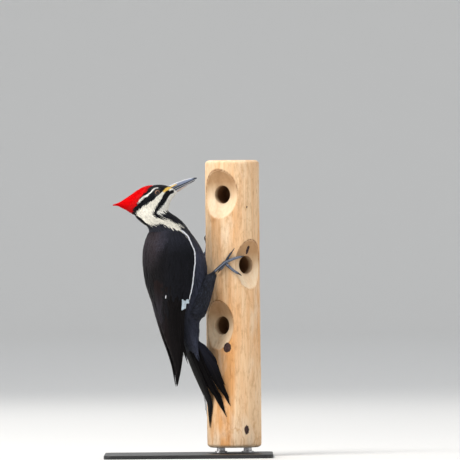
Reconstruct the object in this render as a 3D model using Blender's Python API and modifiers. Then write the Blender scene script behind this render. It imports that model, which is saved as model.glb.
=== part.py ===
"""Pileated woodpecker, female, life size, clinging to a short peeled log on a plain display stand.

World frame: origin at the middle of the base plate's underside, +X to the viewer's right, +Y away, +Z up.
The bird has a frame of its own, which place() carries into the world: "ahead" runs from its back to its
breast, "right" to its right wing, z up, with ahead = right = 0 on the upright line through its nape.
Sizes below are millimetres, and MM turns them into Blender's metres.
"""

import math

import bmesh
import bpy
import numpy as np

MM = 0.001
GAP = 0.35  # clearance between neighbouring solids

# Perch: a peeled log with three drilled food ports on the side that the bird faces past.
LOG_X = 65.0
LOG_Y = 20.0
LOG_RADIUS = 39.0
LOG_BOTTOM = 13.5
LOG_TOP = 422.5
LOG_CHAMFER = 4.5
PORT_TURNS = {"upper": -32.0, "middle": 42.0, "lower": -36.0}  # degrees right of the front
PORT_HEIGHTS = {"upper": 373.5, "middle": 273.5, "lower": 187.5}
SCOOP_HALF_HEIGHT = 36.0
SCOOP_DEPTH = 13.0
SCOOP_RADIUS = (SCOOP_HALF_HEIGHT**2 + SCOOP_DEPTH**2) / (2 * SCOOP_DEPTH)
SCOOP_CENTRE = LOG_RADIUS - SCOOP_DEPTH + SCOOP_RADIUS  # from the log's axis
BORE_RADIUS = 13.0
BORE_FLOOR = -4.0  # the bore ends this far past the log's axis

# Stand: a flat plate and two turned rods with collars.
BASE_SIZE = (240.0, 146.0, 5.5)
BASE_CORNER = 12.0
BASE_EDGE = 1.2
ROD_RADIUS = 6.0
ROD_SPREAD = 19.0  # from the log's axis to each rod
COLLAR_RADIUS = 9.0
COLLAR_HEIGHT = 2.2

# Bird: where its own frame stands, and how far it and its head are turned to the right of straight away.
NAPE_X = -47.0
NAPE_Y = -44.7
BODY_TURN = 30.0
HEAD_TURN = 8.0
LOG_AHEAD = 129.3  # from the nape line forward to the log's axis
SIDES = {"right": 1.0, "left": -1.0}

# Body stations from the root of the tail to the base of the bill, in the bird's middle plane:
# back (ahead, z), front (ahead, z), half width, turn.
BODY = np.array([
    (44.0, 168.6, 67.5, 168.6, 21.0, 30),
    (36.0, 182.0, 69.5, 180.0, 22.0, 30),
    (27.9, 195.0, 70.2, 192.0, 22.5, 30),
    (18.9, 206.0, 78.1, 203.0, 27.0, 30),
    (10.0, 218.0, 83.5, 216.0, 31.5, 30),
    (1.1, 232.0, 85.5, 230.0, 35.0, 30),
    (-5.0, 248.0, 84.7, 246.0, 37.0, 30),
    (-8.4, 264.0, 82.9, 262.0, 37.5, 30),
    (-9.9, 280.0, 80.9, 278.0, 37.5, 30),
    (-9.3, 295.0, 75.4, 293.6, 36.0, 30),
    (-6.2, 309.0, 66.4, 308.0, 33.0, 30),
    (-3.8, 321.0, 55.9, 321.5, 28.0, 30),
    (-7.3, 328.0, 45.8, 333.8, 24.0, 28),
    (-14.1, 332.0, 36.1, 341.5, 21.5, 25),
    (-20.2, 336.8, 26.6, 347.2, 19.8, 19),
    (-25.3, 342.0, 21.2, 351.2, 18.8, 14),
    (-27.7, 349.0, 21.3, 353.5, 18.3, 10),
    (-27.6, 358.0, 22.1, 356.5, 18.2, 8),
    (-24.1, 368.0, 22.9, 359.5, 18.0, 8),
    (-17.0, 377.5, 24.1, 362.7, 17.6, 8),
    (-8.9, 383.8, 25.8, 365.8, 16.8, 8),
    (-0.3, 387.4, 28.1, 369.0, 15.2, 8),
    (8.7, 388.2, 30.6, 372.0, 12.6, 8),
    (16.3, 387.4, 33.0, 375.0, 9.6, 8),
    (21.8, 385.8, 35.0, 377.6, 6.6, 8),
])
TRUNK_END = 11.3  # stations where the body is parted
NECK_END = 14.45
PARTING = 0.06
BODY_SIDES = 20  # points round each section

# Crest: a wedge of long crown feathers, from inside the skull back to its tip:
# top (ahead, z), bottom (ahead, z), half width.
CREST = np.array([
    (2.0, 388.4, -8.0, 350.0, 10.5),
    (-11.0, 386.7, -19.0, 343.6, 14.5),
    (-21.2, 381.6, -27.5, 345.2, 13.5),
    (-30.3, 375.4, -35.0, 349.6, 11.0),
    (-39.4, 369.3, -43.0, 354.2, 7.6),
    (-48.5, 363.6, -50.5, 358.2, 3.8),
    (-58.9, 359.8, -58.9, 359.0, 0.7),
])

# Bill halves, base to tip: ridge (ahead, z), cutting edge (ahead, z), half width.
BILL_UPPER = np.array([
    (22.4, 386.2, 29.7, 381.6, 5.8),
    (30.0, 389.6, 33.5, 383.5, 5.3),
    (38.3, 392.6, 40.5, 386.6, 4.6),
    (46.0, 395.0, 47.5, 389.7, 3.8),
    (53.0, 396.9, 54.0, 392.8, 2.9),
    (59.0, 397.9, 59.6, 395.1, 2.0),
    (62.6, 397.6, 62.7, 396.8, 1.1),
])
BILL_LOWER = np.array([
    (35.3, 377.9, 30.1, 380.9, 5.0),
    (38.0, 379.6, 34.0, 382.7, 4.7),
    (43.5, 383.3, 40.8, 385.8, 4.0),
    (49.5, 387.0, 47.8, 388.9, 3.1),
    (55.3, 390.6, 54.2, 391.9, 2.2),
    (59.8, 393.4, 59.4, 394.1, 1.2),
])

EYE_AHEAD = 3.9
EYE_Z = 376.9
EYE_OUT = 12.2  # from the middle plane to the eyeball's centre
EYE_RADIUS = 5.1
EYE_MESH = (14, 8)

# Folded wing, shoulder to tip: z, middle (ahead), half depth, half width, angle round the body from the
# middle of the back to the front edge and to the inner edge, thickness.
WING = np.array([
    (325.0, 25.2, 29.0, 28.4, 88, 62, 1.4),
    (320.0, 26.3, 32.3, 31.6, 95, 42, 2.0),
    (309.0, 29.8, 38.9, 36.6, 99, 31, 2.2),
    (295.0, 33.0, 45.7, 40.0, 101, 27, 2.6),
    (280.0, 35.5, 48.8, 41.5, 99, 25, 2.6),
    (264.0, 37.2, 49.0, 41.5, 96, 23, 2.6),
    (248.0, 39.8, 48.4, 41.0, 90, 20, 2.6),
    (234.0, 42.1, 46.2, 39.0, 83, 15, 2.6),
    (220.0, 43.2, 42.2, 35.7, 77, 10, 2.4),
    (205.0, 42.1, 37.5, 31.0, 73, 6, 2.2),
    (190.0, 40.4, 32.0, 26.0, 77, 5, 2.0),
    (170.0, 39.3, 24.5, 20.0, 84, 5, 1.8),
    (150.0, 38.1, 15.5, 15.5, 93, 6, 1.6),
    (130.0, 37.2, 8.0, 11.5, 90, 8, 1.4),
    (113.0, 36.1, 4.0, 7.0, 90, 10, 1.2),
    (100.0, 35.8, 1.7, 2.6, 80, 20, 0.8),
])
WING_ROWS = 19
WING_COLUMNS = 7

# Tail: five feathers a side, stacked on arcs that wrap the log, the middle pair outermost.
# Angle round the arc at the root, spread by mid length, hook at the tip, power of the hook,
# tip z, half width, stacking level at the tip and at the root.
TAIL = {
    1: (5.0, 2.5, -7.0, 3.0, 42.0, 7.6, 0, 4),
    2: (11.0, 7.0, 20.0, 5.0, 66.0, 7.0, 1, 3),
    3: (17.0, 3.0, 24.8, 3.5, 57.6, 7.0, 0, 2),
    4: (24.0, 18.0, 11.0, 8.0, 73.2, 8.5, 0, 1),
    5: (30.0, 16.0, 7.0, 4.0, 103.0, 7.5, 0, 0),
}
TAIL_ROOT = 168.0
TAIL_THICKNESS = 0.8
TAIL_PITCH = 1.15
TAIL_TOUCH = 87.0  # height where the tail comes to lie on the log
TAIL_STAND_OFF = 36.0  # how far behind that its root stands
TAIL_RISE = 88.0
STACK_LOW = 72.0
STACK_HIGH = 90.0
TAIL_ROWS = 13

# Thigh, belly to ankle, in the bird's frame: ahead, right, z, radius.
THIGH = np.array([
    (57.0, 18.5, 199.0, 8.5),
    (57.0, 19.5, 203.5, 13.6),
    (57.2, 20.5, 212.0, 15.8),
    (60.0, 22.0, 225.0, 17.0),
    (66.0, 25.0, 238.0, 14.6),
    (72.5, 29.1, 250.0, 10.4),
    (78.0, 32.4, 259.0, 5.6),
    (80.0, 33.4, 263.5, 3.6),
])
ANKLE = np.array((80.8, 33.8, 265.0))  # ahead, right, z
TARSUS_RADII = (2.4, 2.4, 2.6, 3.0, 2.2)
PALM_HEIGHT = 3.4
# Feet, on the log: turn is measured round the log from the bird's plane, height from the floor.
FOOT_TURN = {"right": 44.3, "left": 51.6}
FOOT_Z = {"right": 276.6, "left": 289.5}
# Toe routes over the wood: (turn, z) from the foot.
TOES = {
    "right": {
        1: [(0.0, -1.0), (-6.0, -7.0), (-10.0, -10.0)],
        2: [(0.5, 1.0), (7.5, 9.0), (13.5, 15.0)],
        3: [(1.5, 0.5), (13.0, 4.4), (24.0, 7.0), (36.0, 8.6)],
        4: [(1.0, -1.0), (10.5, -7.0), (18.5, -12.0), (27.0, -15.5)],
    },
    "left": {
        1: [(0.0, -1.0), (-7.0, -7.5), (-12.0, -9.0)],
        2: [(0.0, 1.0), (3.5, 12.0), (-1.5, 20.0)],
        3: [(1.0, 0.5), (11.0, 9.0), (19.0, 15.0), (27.0, 20.0)],
        4: [(1.0, -0.5), (12.0, -5.0), (21.0, -8.0), (29.0, -11.0)],
    },
}
TOE_RADII = (2.1, 1.75)
TOE_LIFT = 0.25
TOE_BEND = 4.5  # degrees round the log that a toe bridges
CLAW_START = 0.7  # from the toe's end to the claw's root
CLAW_LENGTH = 7.0
CLAW_ARCH = 0.9
CLAW_SHARES = (0.0, 0.3, 0.6, 0.85, 1.0)
CLAW_RADII = (1.35, 1.2, 0.9, 0.55, 0.27)

COLLECTION = bpy.data.collections
MATERIALS = {}


def clear_scene():
    for item in list(bpy.data.objects):
        bpy.data.objects.remove(item, do_unlink=True)


def new_collection(name, hidden=False):
    made = COLLECTION.new(name)
    made.hide_render = hidden
    bpy.context.scene.collection.children.link(made)
    return made


def finish(name, colour, roughness, metallic=0.0):
    """A Principled material, made once for each name."""
    if name not in MATERIALS:
        made = bpy.data.materials.new(name)
        made.use_nodes = True
        shader = made.node_tree.nodes["Principled BSDF"]
        shader.inputs["Base Color"].default_value = (*colour, 1.0)
        shader.inputs["Roughness"].default_value = roughness
        shader.inputs["Metallic"].default_value = metallic
        MATERIALS[name] = made
    return MATERIALS[name]


def horn():
    return finish("horn_bill", (0.16, 0.2, 0.33), 0.42)


def black_plumage():
    return finish("black_plumage", (0.02, 0.02, 0.025), 0.55)


def face_plumage():
    return finish("face_plumage", (0.7, 0.66, 0.55), 0.7)


def crest_plumage():
    return finish("crest_plumage", (0.75, 0.01, 0.01), 0.6)


def scaled_foot():
    return finish("scaled_foot", (0.12, 0.14, 0.2), 0.5)


def claw_horn():
    return finish("claw_horn", (0.04, 0.04, 0.05), 0.35)


def eye_gloss():
    return finish("eye_gloss", (0.2, 0.1, 0.04), 0.08)


def peeled_wood():
    return finish("peeled_wood", (0.75, 0.5, 0.28), 0.75)


def dark_plate():
    return finish("dark_plate", (0.03, 0.03, 0.035), 0.5, 0.2)


def steel():
    return finish("steel", (0.6, 0.6, 0.62), 0.3, 1.0)


def add_object(name, mesh, material, group, smooth=True):
    if material:
        mesh.materials.append(material)
    made = bpy.data.objects.new(name, mesh)
    group.objects.link(made)
    if smooth:
        mesh.shade_smooth()
        mesh.set_sharp_from_angle(angle=math.radians(40))
    return made


def mesh_from(name, points, faces):
    """A mesh from points in millimetres, its faces turned to point outwards."""
    made = bpy.data.meshes.new(name)
    made.from_pydata((np.asarray(points) * MM).tolist(), [], faces)
    work = bmesh.new()
    work.from_mesh(made)
    bmesh.ops.recalc_face_normals(work, faces=work.faces)
    work.to_mesh(made)
    work.free()
    return made


def loft(name, rings, material, group):
    """A closed solid through rings of equal point count, each end closed by a fan about its middle."""
    rings = np.asarray(rings)
    count, around = rings.shape[:2]
    index = np.arange(count * around).reshape(count, around)
    ahead = np.roll(index, -1, axis=1)
    sides = np.stack([index[:-1], ahead[:-1], ahead[1:], index[1:]], axis=-1).reshape(-1, 4)
    first, last = count * around, count * around + 1
    faces = sides.tolist()
    faces += [[first, b, a] for a, b in zip(index[0].tolist(), ahead[0].tolist())]
    faces += [[last, a, b] for a, b in zip(index[-1].tolist(), ahead[-1].tolist())]
    points = np.vstack([rings.reshape(-1, 3), rings[0].mean(0), rings[-1].mean(0)])
    return add_object(name, mesh_from(name, points, faces), material, group)


def plate(name, outer, inner, material, group):
    """A closed solid between two grids of points that share their outline's order."""
    rows, columns = outer.shape[:2]
    shift = rows * columns
    index = np.arange(shift).reshape(rows, columns)
    corners = (index[:-1, :-1], index[1:, :-1], index[1:, 1:], index[:-1, 1:])
    quads = np.stack(corners, axis=-1).reshape(-1, 4)
    rim = np.concatenate([index[0, :-1], index[:-1, -1], index[-1, :0:-1], index[:0:-1, 0]])
    beyond = np.roll(rim, -1)
    edge = np.stack([rim, beyond, beyond + shift, rim + shift], axis=-1)
    faces = np.concatenate([quads[:, ::-1], quads + shift, edge]).tolist()
    points = np.concatenate([outer.reshape(-1, 3), inner.reshape(-1, 3)])
    return add_object(name, mesh_from(name, points, faces), material, group)


def tube(name, points, radii, material, group):
    """A round limb along points, thinner or thicker at each by its radius."""
    curve = bpy.data.curves.new(name, "CURVE")
    curve.dimensions = "3D"
    curve.bevel_depth = MM
    curve.bevel_resolution = 2
    curve.use_fill_caps = True
    line = curve.splines.new("POLY")
    line.points.add(len(points) - 1)
    for knot, place_mm, radius in zip(line.points, points, radii):
        knot.co = (*(np.asarray(place_mm) * MM), 1.0)
        knot.radius = radius
    curve.materials.append(material)
    made = bpy.data.objects.new(name, curve)
    group.objects.link(made)
    return made


def subtract(target, cutter):
    """Takes the cutter out of the target, and hides the cutter."""
    cutter.hide_render = True
    cutter.display_type = "WIRE"
    cut = target.modifiers.new("cut_" + cutter.name, "BOOLEAN")
    cut.operation = "DIFFERENCE"
    cut.solver = "EXACT"
    cut.object = cutter


def between(rows, station):
    """Rows of a table at fractional station numbers, on Catmull-Rom curves through the rows."""
    rows = np.asarray(rows, float)
    padded = np.vstack([2 * rows[0] - rows[1], rows, 2 * rows[-1] - rows[-2]])
    station = np.clip(np.asarray(station, float), 0, len(rows) - 1 - 1e-9)
    whole = station.astype(int)
    t = (station - whole)[:, None]
    p0, p1, p2, p3 = (padded[whole + i] for i in range(4))
    return p1 + 0.5 * t * (p2 - p0 + t * (2 * p0 - 5 * p1 + 4 * p2 - p3 + t * (3 * (p1 - p2) + p3 - p0)))


def place(ahead, right, z, turn=BODY_TURN):
    """World points from the bird's frame: ahead and right are turned about the nape's upright line."""
    angle = np.radians(turn)
    x = NAPE_X + ahead * np.cos(angle) + right * np.sin(angle)
    y = NAPE_Y + ahead * np.sin(angle) - right * np.cos(angle)
    return np.stack(np.broadcast_arrays(x, y, z), axis=-1)


def body_rings(start, end, count, around, grow=0.0):
    """Egg-shaped sections of the body from one station to another, grown all round by grow."""
    rows = between(BODY, np.linspace(start, end, count))
    back, front, width, turn = rows[:, 0:2], rows[:, 2:4], rows[:, 4:5] + grow, rows[:, 5:6]
    middle, reach = (back + front) / 2, (back - front) / 2
    reach = reach * (1 + grow / np.linalg.norm(reach, axis=1, keepdims=True))
    angle = np.linspace(0, 2 * np.pi, around, endpoint=False)
    ahead = middle[:, :1] + reach[:, :1] * np.cos(angle)
    z = middle[:, 1:] + reach[:, 1:] * np.cos(angle)
    return place(ahead, width * np.sin(angle), z, turn)


def blade_rings(table, count, shape, turn=HEAD_TURN):
    """Sections of a bill half or crest: shape holds (share from edge to ridge, share of half width)."""
    rows = between(table, np.linspace(0, len(table) - 1, count))
    ridge, edge, width = rows[:, None, 0:2], rows[:, None, 2:4], rows[:, 4:5]
    share, side = np.asarray(shape).T
    line = edge + (ridge - edge) * share[None, :, None]
    return place(line[..., 0], width * side, line[..., 1], turn)


def rounded(around):
    """An ellipse as (share of height, share of half width)."""
    angle = np.linspace(0, 2 * np.pi, around, endpoint=False)
    return np.stack([(1 + np.cos(angle)) / 2, np.sin(angle)], axis=1)


def arc_point(turn, radius, z, side, back=0.0):
    """A point round the log: turn in degrees from the bird's plane, back moves the arc off the log."""
    angle = np.radians(turn)
    return place(LOG_AHEAD - back - radius * np.cos(angle), side * radius * np.sin(angle), z)


def wood_radius(turn, z):
    """The log's surface from its axis, where turn is degrees from the bird's plane on its right side."""
    radius = LOG_RADIUS
    for port, port_turn in PORT_TURNS.items():
        aside = math.radians(turn - 60.0 - port_turn)
        under = SCOOP_RADIUS**2 - (z - PORT_HEIGHTS[port]) ** 2 - (SCOOP_CENTRE * math.sin(aside)) ** 2
        if under > 0 and math.cos(aside) > 0:
            radius = min(radius, SCOOP_CENTRE * math.cos(aside) - math.sqrt(under))
    return radius


def smooth(x):
    x = np.clip(x, 0.0, 1.0)
    return x * x * (3 - 2 * x)


def make_perch(group, cutters):
    profile = [(0, LOG_TOP), (LOG_RADIUS - LOG_CHAMFER, LOG_TOP), (LOG_RADIUS - 1, LOG_TOP - LOG_CHAMFER / 2),
               (LOG_RADIUS, LOG_TOP - LOG_CHAMFER), (LOG_RADIUS, LOG_BOTTOM + LOG_CHAMFER),
               (LOG_RADIUS - 1, LOG_BOTTOM + LOG_CHAMFER / 2), (LOG_RADIUS - LOG_CHAMFER, LOG_BOTTOM),
               (0, LOG_BOTTOM)]
    log = turned("perch_log", profile, 40, peeled_wood(), group)
    log.location = (LOG_X * MM, LOG_Y * MM, 0)
    for port, turn in PORT_TURNS.items():
        out = (math.sin(math.radians(turn)), -math.cos(math.radians(turn)))
        z = PORT_HEIGHTS[port]
        scoop = ball("scoop_" + port, SCOOP_RADIUS, 30, 20, None, cutters)
        scoop.location = ((LOG_X + SCOOP_CENTRE * out[0]) * MM, (LOG_Y + SCOOP_CENTRE * out[1]) * MM, z * MM)
        length = LOG_RADIUS - BORE_FLOOR + 5
        reach = BORE_FLOOR + length / 2
        bore = cylinder("bore_" + port, BORE_RADIUS, length, 20, cutters)
        bore.rotation_euler = (math.radians(90), 0, math.radians(turn))
        bore.location = ((LOG_X + reach * out[0]) * MM, (LOG_Y + reach * out[1]) * MM, z * MM)
        subtract(log, scoop)
        subtract(log, bore)


def turned(name, profile, steps, material, group):
    """A solid of revolution: the profile's (radius, z) points run down its outer side."""
    mesh = bpy.data.meshes.new(name)
    points = [(r * MM, 0, z * MM) for r, z in profile]
    mesh.from_pydata(points, [(i, i + 1) for i in range(len(points) - 1)], [])
    made = add_object(name, mesh, material, group, smooth=False)
    spin = made.modifiers.new("turned", "SCREW")
    spin.steps = steps
    spin.render_steps = steps
    spin.use_merge_vertices = True
    spin.merge_threshold = 0.00001
    spin.use_smooth_shade = False
    return made


def ball(name, radius, around, tall, material, group):
    work = bmesh.new()
    bmesh.ops.create_uvsphere(work, u_segments=around, v_segments=tall, radius=radius * MM)
    mesh = bpy.data.meshes.new(name)
    work.to_mesh(mesh)
    work.free()
    return add_object(name, mesh, material, group)


def cylinder(name, radius, length, around, group):
    work = bmesh.new()
    bmesh.ops.create_cone(work, cap_ends=True, segments=around, radius1=radius * MM, radius2=radius * MM,
                          depth=length * MM)
    mesh = bpy.data.meshes.new(name)
    work.to_mesh(mesh)
    work.free()
    return add_object(name, mesh, None, group, smooth=False)


def make_stand(group):
    work = bmesh.new()
    bmesh.ops.create_cube(work, size=1.0)
    for corner in work.verts:
        corner.co = [c * size * MM for c, size in zip(corner.co, BASE_SIZE)]
        corner.co.z += BASE_SIZE[2] * MM / 2
    upright = [e for e in work.edges if abs(e.verts[0].co.z - e.verts[1].co.z) > MM]
    bmesh.ops.bevel(work, geom=upright, offset=BASE_CORNER * MM, segments=5, affect="EDGES", profile=0.5)
    rim = [e for e in work.edges if min(v.co.z for v in e.verts) > (BASE_SIZE[2] - 0.1) * MM]
    bmesh.ops.bevel(work, geom=rim, offset=BASE_EDGE * MM, segments=2, affect="EDGES", profile=0.5)
    mesh = bpy.data.meshes.new("stand_base")
    work.to_mesh(mesh)
    work.free()
    add_object("stand_base", mesh, dark_plate(), group)
    foot, top = BASE_SIZE[2] + GAP, LOG_BOTTOM - GAP
    profile = [(0, top), (ROD_RADIUS, top), (ROD_RADIUS, foot + COLLAR_HEIGHT),
               (COLLAR_RADIUS - 0.6, foot + COLLAR_HEIGHT), (COLLAR_RADIUS, foot + COLLAR_HEIGHT - 0.6),
               (COLLAR_RADIUS, foot), (0, foot)]
    for number, offset in enumerate((-ROD_SPREAD, ROD_SPREAD), 1):
        rod = turned(f"stand_rod_{number}", profile, 16, steel(), group)
        rod.location = ((LOG_X + offset) * MM, LOG_Y * MM, 0)


def make_body(group, cutters):
    """Trunk, neck and head as lengths of one form, the head with sockets for its eyes."""
    loft("trunk", body_rings(0, TRUNK_END, 17, BODY_SIDES), black_plumage(), group)
    loft("neck", body_rings(TRUNK_END + PARTING, NECK_END, 6, BODY_SIDES), face_plumage(), group)
    last = len(BODY) - 1
    head = loft("head", body_rings(NECK_END + PARTING, last, 13, BODY_SIDES), face_plumage(), group)
    for side, sign in SIDES.items():
        at = place(EYE_AHEAD, sign * EYE_OUT, EYE_Z, HEAD_TURN) * MM
        eye = ball("eye_" + side, EYE_RADIUS, *EYE_MESH, eye_gloss(), group)
        eye.location = at
        socket = ball("socket_" + side, EYE_RADIUS + GAP, *EYE_MESH, None, cutters)
        socket.location = at
        subtract(head, socket)
    crest = loft("crest", blade_rings(CREST, 10, rounded(14)), crest_plumage(), group)
    skull = loft("skull", body_rings(NECK_END - 1, last, 15, BODY_SIDES, GAP), None, cutters)
    subtract(crest, skull)


def make_bill(group):
    upper = [(1.0, 0.0), (0.93, 0.34), (0.72, 0.62), (0.42, 0.84), (0.12, 1.0), (0.0, 0.93),
             (0.0, -0.93), (0.12, -1.0), (0.42, -0.84), (0.72, -0.62), (0.93, -0.34)]
    lower = [(0.0, 0.95), (0.3, 1.0), (0.75, 0.66), (1.0, 0.0), (0.75, -0.66), (0.3, -1.0), (0.0, -0.95)]
    loft("bill_upper", blade_rings(BILL_UPPER, 10, upper), horn(), group)
    loft("bill_lower", blade_rings(BILL_LOWER, 9, lower), horn(), group)


def make_wing(side, sign, group):
    rows = between(WING, np.linspace(0, len(WING) - 1, WING_ROWS))
    z, middle, depth, width, front, inner, thick = (rows[:, i : i + 1] for i in range(7))
    angle = np.radians(front + (inner - front) * np.linspace(0, 1, WING_COLUMNS))
    faces = []
    for inset in (0.0, thick):
        ahead = middle - (depth - inset) * np.cos(angle)
        faces.append(place(ahead, sign * (width - inset) * np.sin(angle), z))
    wing = plate("wing_" + side, faces[0], faces[1], black_plumage(), group)
    subtract(wing, bpy.data.objects["body_clearance"])


def make_tail_feather(number, side, sign, group):
    root, spread, hook, power, tip, half, low, high = TAIL[number]
    along = np.linspace(0, 1, TAIL_ROWS)[:, None]
    z = TAIL_ROOT + (tip - TAIL_ROOT) * along
    level = low + (high - low) * smooth((z - STACK_LOW) / (STACK_HIGH - STACK_LOW))
    radius = LOG_RADIUS + GAP + TAIL_THICKNESS / 2 + TAIL_PITCH * level
    rise = np.clip((z - TAIL_TOUCH) / TAIL_RISE, 0, 1)
    back = TAIL_STAND_OFF * (1 - (1 - rise) ** 1.35)
    width = half * (0.62 + 0.38 * smooth(along / 0.25)) * (1 - along**3) ** 1.2 + 0.35
    turn = root + spread * smooth(along / 0.45) + hook * along**power
    turn = turn + np.degrees(width / radius) * np.array([-1.0, 0.0, 1.0])
    turn = np.maximum(turn, 0.3)
    outer = arc_point(turn, radius + TAIL_THICKNESS / 2, z, sign, back)
    inner = arc_point(turn, radius - TAIL_THICKNESS / 2, z, sign, back)
    plate(f"tail_feather_{side}_{number}", outer, inner, black_plumage(), group)


def limb_rings(path, radii, around):
    """Round sections square to a path of points."""
    along = np.gradient(path, axis=0)
    along /= np.linalg.norm(along, axis=1, keepdims=True)
    across = np.cross(along, (0.0, 0.0, 1.0))
    across /= np.linalg.norm(across, axis=1, keepdims=True)
    other = np.cross(across, along)
    angle = np.linspace(0, 2 * np.pi, around, endpoint=False)[None, :, None]
    ring = np.cos(angle) * across[:, None] + np.sin(angle) * other[:, None]
    return path[:, None] + radii[:, None, None] * ring


def limb(name, path, radii, around, material, group, cutters, clear_of):
    """A round limb, cut clear of the limbs named, with a hidden clearance of its own for the next."""
    path, radii = np.asarray(path), np.asarray(radii)
    made = loft(name, limb_rings(path, radii, around), material, group)
    for other in clear_of:
        subtract(made, bpy.data.objects["clear_" + other])
    loft("clear_" + name, limb_rings(path, radii + GAP, around), None, cutters)
    return name


def make_leg(side, sign, group, cutters):
    rows = between(THIGH, np.linspace(0, len(THIGH) - 1, 11))
    path = place(rows[:, 0], sign * rows[:, 1], rows[:, 2])
    thigh = loft("thigh_" + side, limb_rings(path, rows[:, 3], 14), black_plumage(), group)
    subtract(thigh, bpy.data.objects["body_clearance"])
    ankle = place(*ANKLE * (1, sign, 1))
    palm = on_wood(side, sign, FOOT_TURN[side], FOOT_Z[side], PALM_HEIGHT)
    shank = [ankle + (palm - ankle) * share for share in (0.0, 0.4, 0.8, 1.0, 1.1)]
    done = [limb("tarsus_" + side, shank, TARSUS_RADII, 10, scaled_foot(), group, cutters, [])]
    for number, route in TOES[side].items():
        done.append(make_toe(side, sign, number, route, group, cutters, done))


def on_wood(side, sign, turn, z, height):
    """A point this high above the wood, bridging what is hollow within a toe's bend of it."""
    wood = LOG_RADIUS
    if side == "right":
        wood = max(wood_radius(turn + near, z) for near in (-TOE_BEND, 0.0, TOE_BEND))
    return arc_point(turn, wood + GAP + height, z, sign)


def make_toe(side, sign, number, route, group, cutters, done):
    """A toe that follows the wood, and its claw, arched ahead of it and down to the wood again."""
    knots = between(route, np.linspace(0, len(route) - 1, 2 * len(route) - 1))
    radii = np.linspace(*TOE_RADII, len(knots))
    turns, heights = (knots + (FOOT_TURN[side], FOOT_Z[side])).T
    points = [on_wood(side, sign, t, z, r + TOE_LIFT) for t, z, r in zip(turns, heights, radii)]
    name = limb(f"toe_{side}_{number}", points, radii, 8, scaled_foot(), group, cutters, done)
    degrees = math.degrees(1 / LOG_RADIUS)
    ahead = np.array([(turns[-1] - turns[-2]) / degrees, heights[-1] - heights[-2]])
    ahead /= np.linalg.norm(ahead)
    claw = []
    for share in CLAW_SHARES:
        reach = CLAW_START + CLAW_LENGTH * share
        turn, z = turns[-1] + ahead[0] * reach * degrees, heights[-1] + ahead[1] * reach
        lift = (radii[-1] + TOE_LIFT) * (1 - share**2) + CLAW_ARCH * math.sin(math.pi * share) + 0.35
        claw.append(on_wood(side, sign, turn, z, lift))
    tube(f"claw_{side}_{number}", claw, CLAW_RADII, claw_horn(), group)
    return name


def main():
    clear_scene()
    bird = new_collection("pileated_woodpecker")
    cutters = new_collection("cutters", hidden=True)
    make_stand(bird)
    make_perch(bird, cutters)
    make_body(bird, cutters)
    make_bill(bird)
    loft("body_clearance", body_rings(0, NECK_END - 1, 22, BODY_SIDES, GAP), None, cutters)
    for side, sign in SIDES.items():
        make_wing(side, sign, bird)
        make_leg(side, sign, bird, cutters)
        for number in TAIL:
            make_tail_feather(number, side, sign, bird)


main()
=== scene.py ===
"""Pileated woodpecker, female, life size, on a cut length of peeled log held by a plain stand.

Millimetres throughout, turned to metres as each mesh is made. Right and left are the bird's own.
"""

import math

import bpy
import numpy as np
from mathutils import Matrix, Vector


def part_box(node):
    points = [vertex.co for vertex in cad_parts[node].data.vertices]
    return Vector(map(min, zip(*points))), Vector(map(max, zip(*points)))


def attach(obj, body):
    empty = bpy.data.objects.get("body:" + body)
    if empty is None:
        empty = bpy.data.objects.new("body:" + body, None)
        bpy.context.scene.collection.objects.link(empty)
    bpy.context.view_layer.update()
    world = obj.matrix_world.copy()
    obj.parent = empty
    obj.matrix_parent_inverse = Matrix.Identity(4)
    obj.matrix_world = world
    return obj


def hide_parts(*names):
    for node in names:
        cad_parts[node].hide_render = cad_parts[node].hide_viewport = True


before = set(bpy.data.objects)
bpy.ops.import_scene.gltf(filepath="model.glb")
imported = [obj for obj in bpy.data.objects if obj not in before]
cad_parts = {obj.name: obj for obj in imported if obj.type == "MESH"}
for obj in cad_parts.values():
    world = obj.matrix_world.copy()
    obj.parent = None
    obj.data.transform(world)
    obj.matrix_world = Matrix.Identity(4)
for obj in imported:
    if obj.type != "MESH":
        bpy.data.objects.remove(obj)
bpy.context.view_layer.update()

# ------------------------------------------------------------------
# Studio: a round pale room whose floor curves up into its wall, large soft lamps, and a long lens at
# the height of the bird's shoulder. None of it is part of the model.
MM = 0.001
ROOM_RADIUS, COVE_RADIUS, WALL_HEIGHT = 11500, 3000, 6500
CAMERA_PLACE, CAMERA_ROLL, CAMERA_LENS = (0.0613, -10.02, 0.3231), -0.477, 551.1
# Lamps: place and height of the aim in metres, size, power, colour.
LAMPS = {
    "lamp_above": ((-1.1, -1.3, 3), 0.22, 1.2, 71, (1, 0.975, 0.94)),
    "lamp_front_right": ((2.6, -2.2, 1), 0.2, 1.6, 10, (0.95, 0.97, 1)),
    "lamp_left": ((-2.7, -1.5, 1), 0.2, 1.6, 36, (1, 0.98, 0.95)),
    "lamp_behind": ((-0.7, 2.6, 2.2), 0.25, 1.2, 20, (1, 0.98, 0.95)),
}


def full_turn(count):
    """Angles evenly round a circle."""
    return np.linspace(0, 2 * np.pi, count, endpoint=False)


def build_mesh(name, points, *face_sets, flip=False):
    """A mesh of points in millimetres, from sets of faces that each have one number of corners."""
    made = bpy.data.meshes.new(name)
    made.vertices.add(len(points))
    made.vertices.foreach_set("co", (np.asarray(points) * MM).astype(np.float32).ravel())
    corners = np.concatenate([faces[:, :: -1 if flip else 1].ravel() for faces in face_sets])
    sides = np.concatenate([np.full(len(faces), faces.shape[1]) for faces in face_sets])
    made.loops.add(len(corners))
    made.loops.foreach_set("vertex_index", corners.astype(np.int32))
    made.polygons.add(len(sides))
    made.polygons.foreach_set("loop_start", np.append(0, np.cumsum(sides)[:-1]).astype(np.int32))
    made.update(calc_edges=True)
    made.shade_smooth()
    return made


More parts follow.
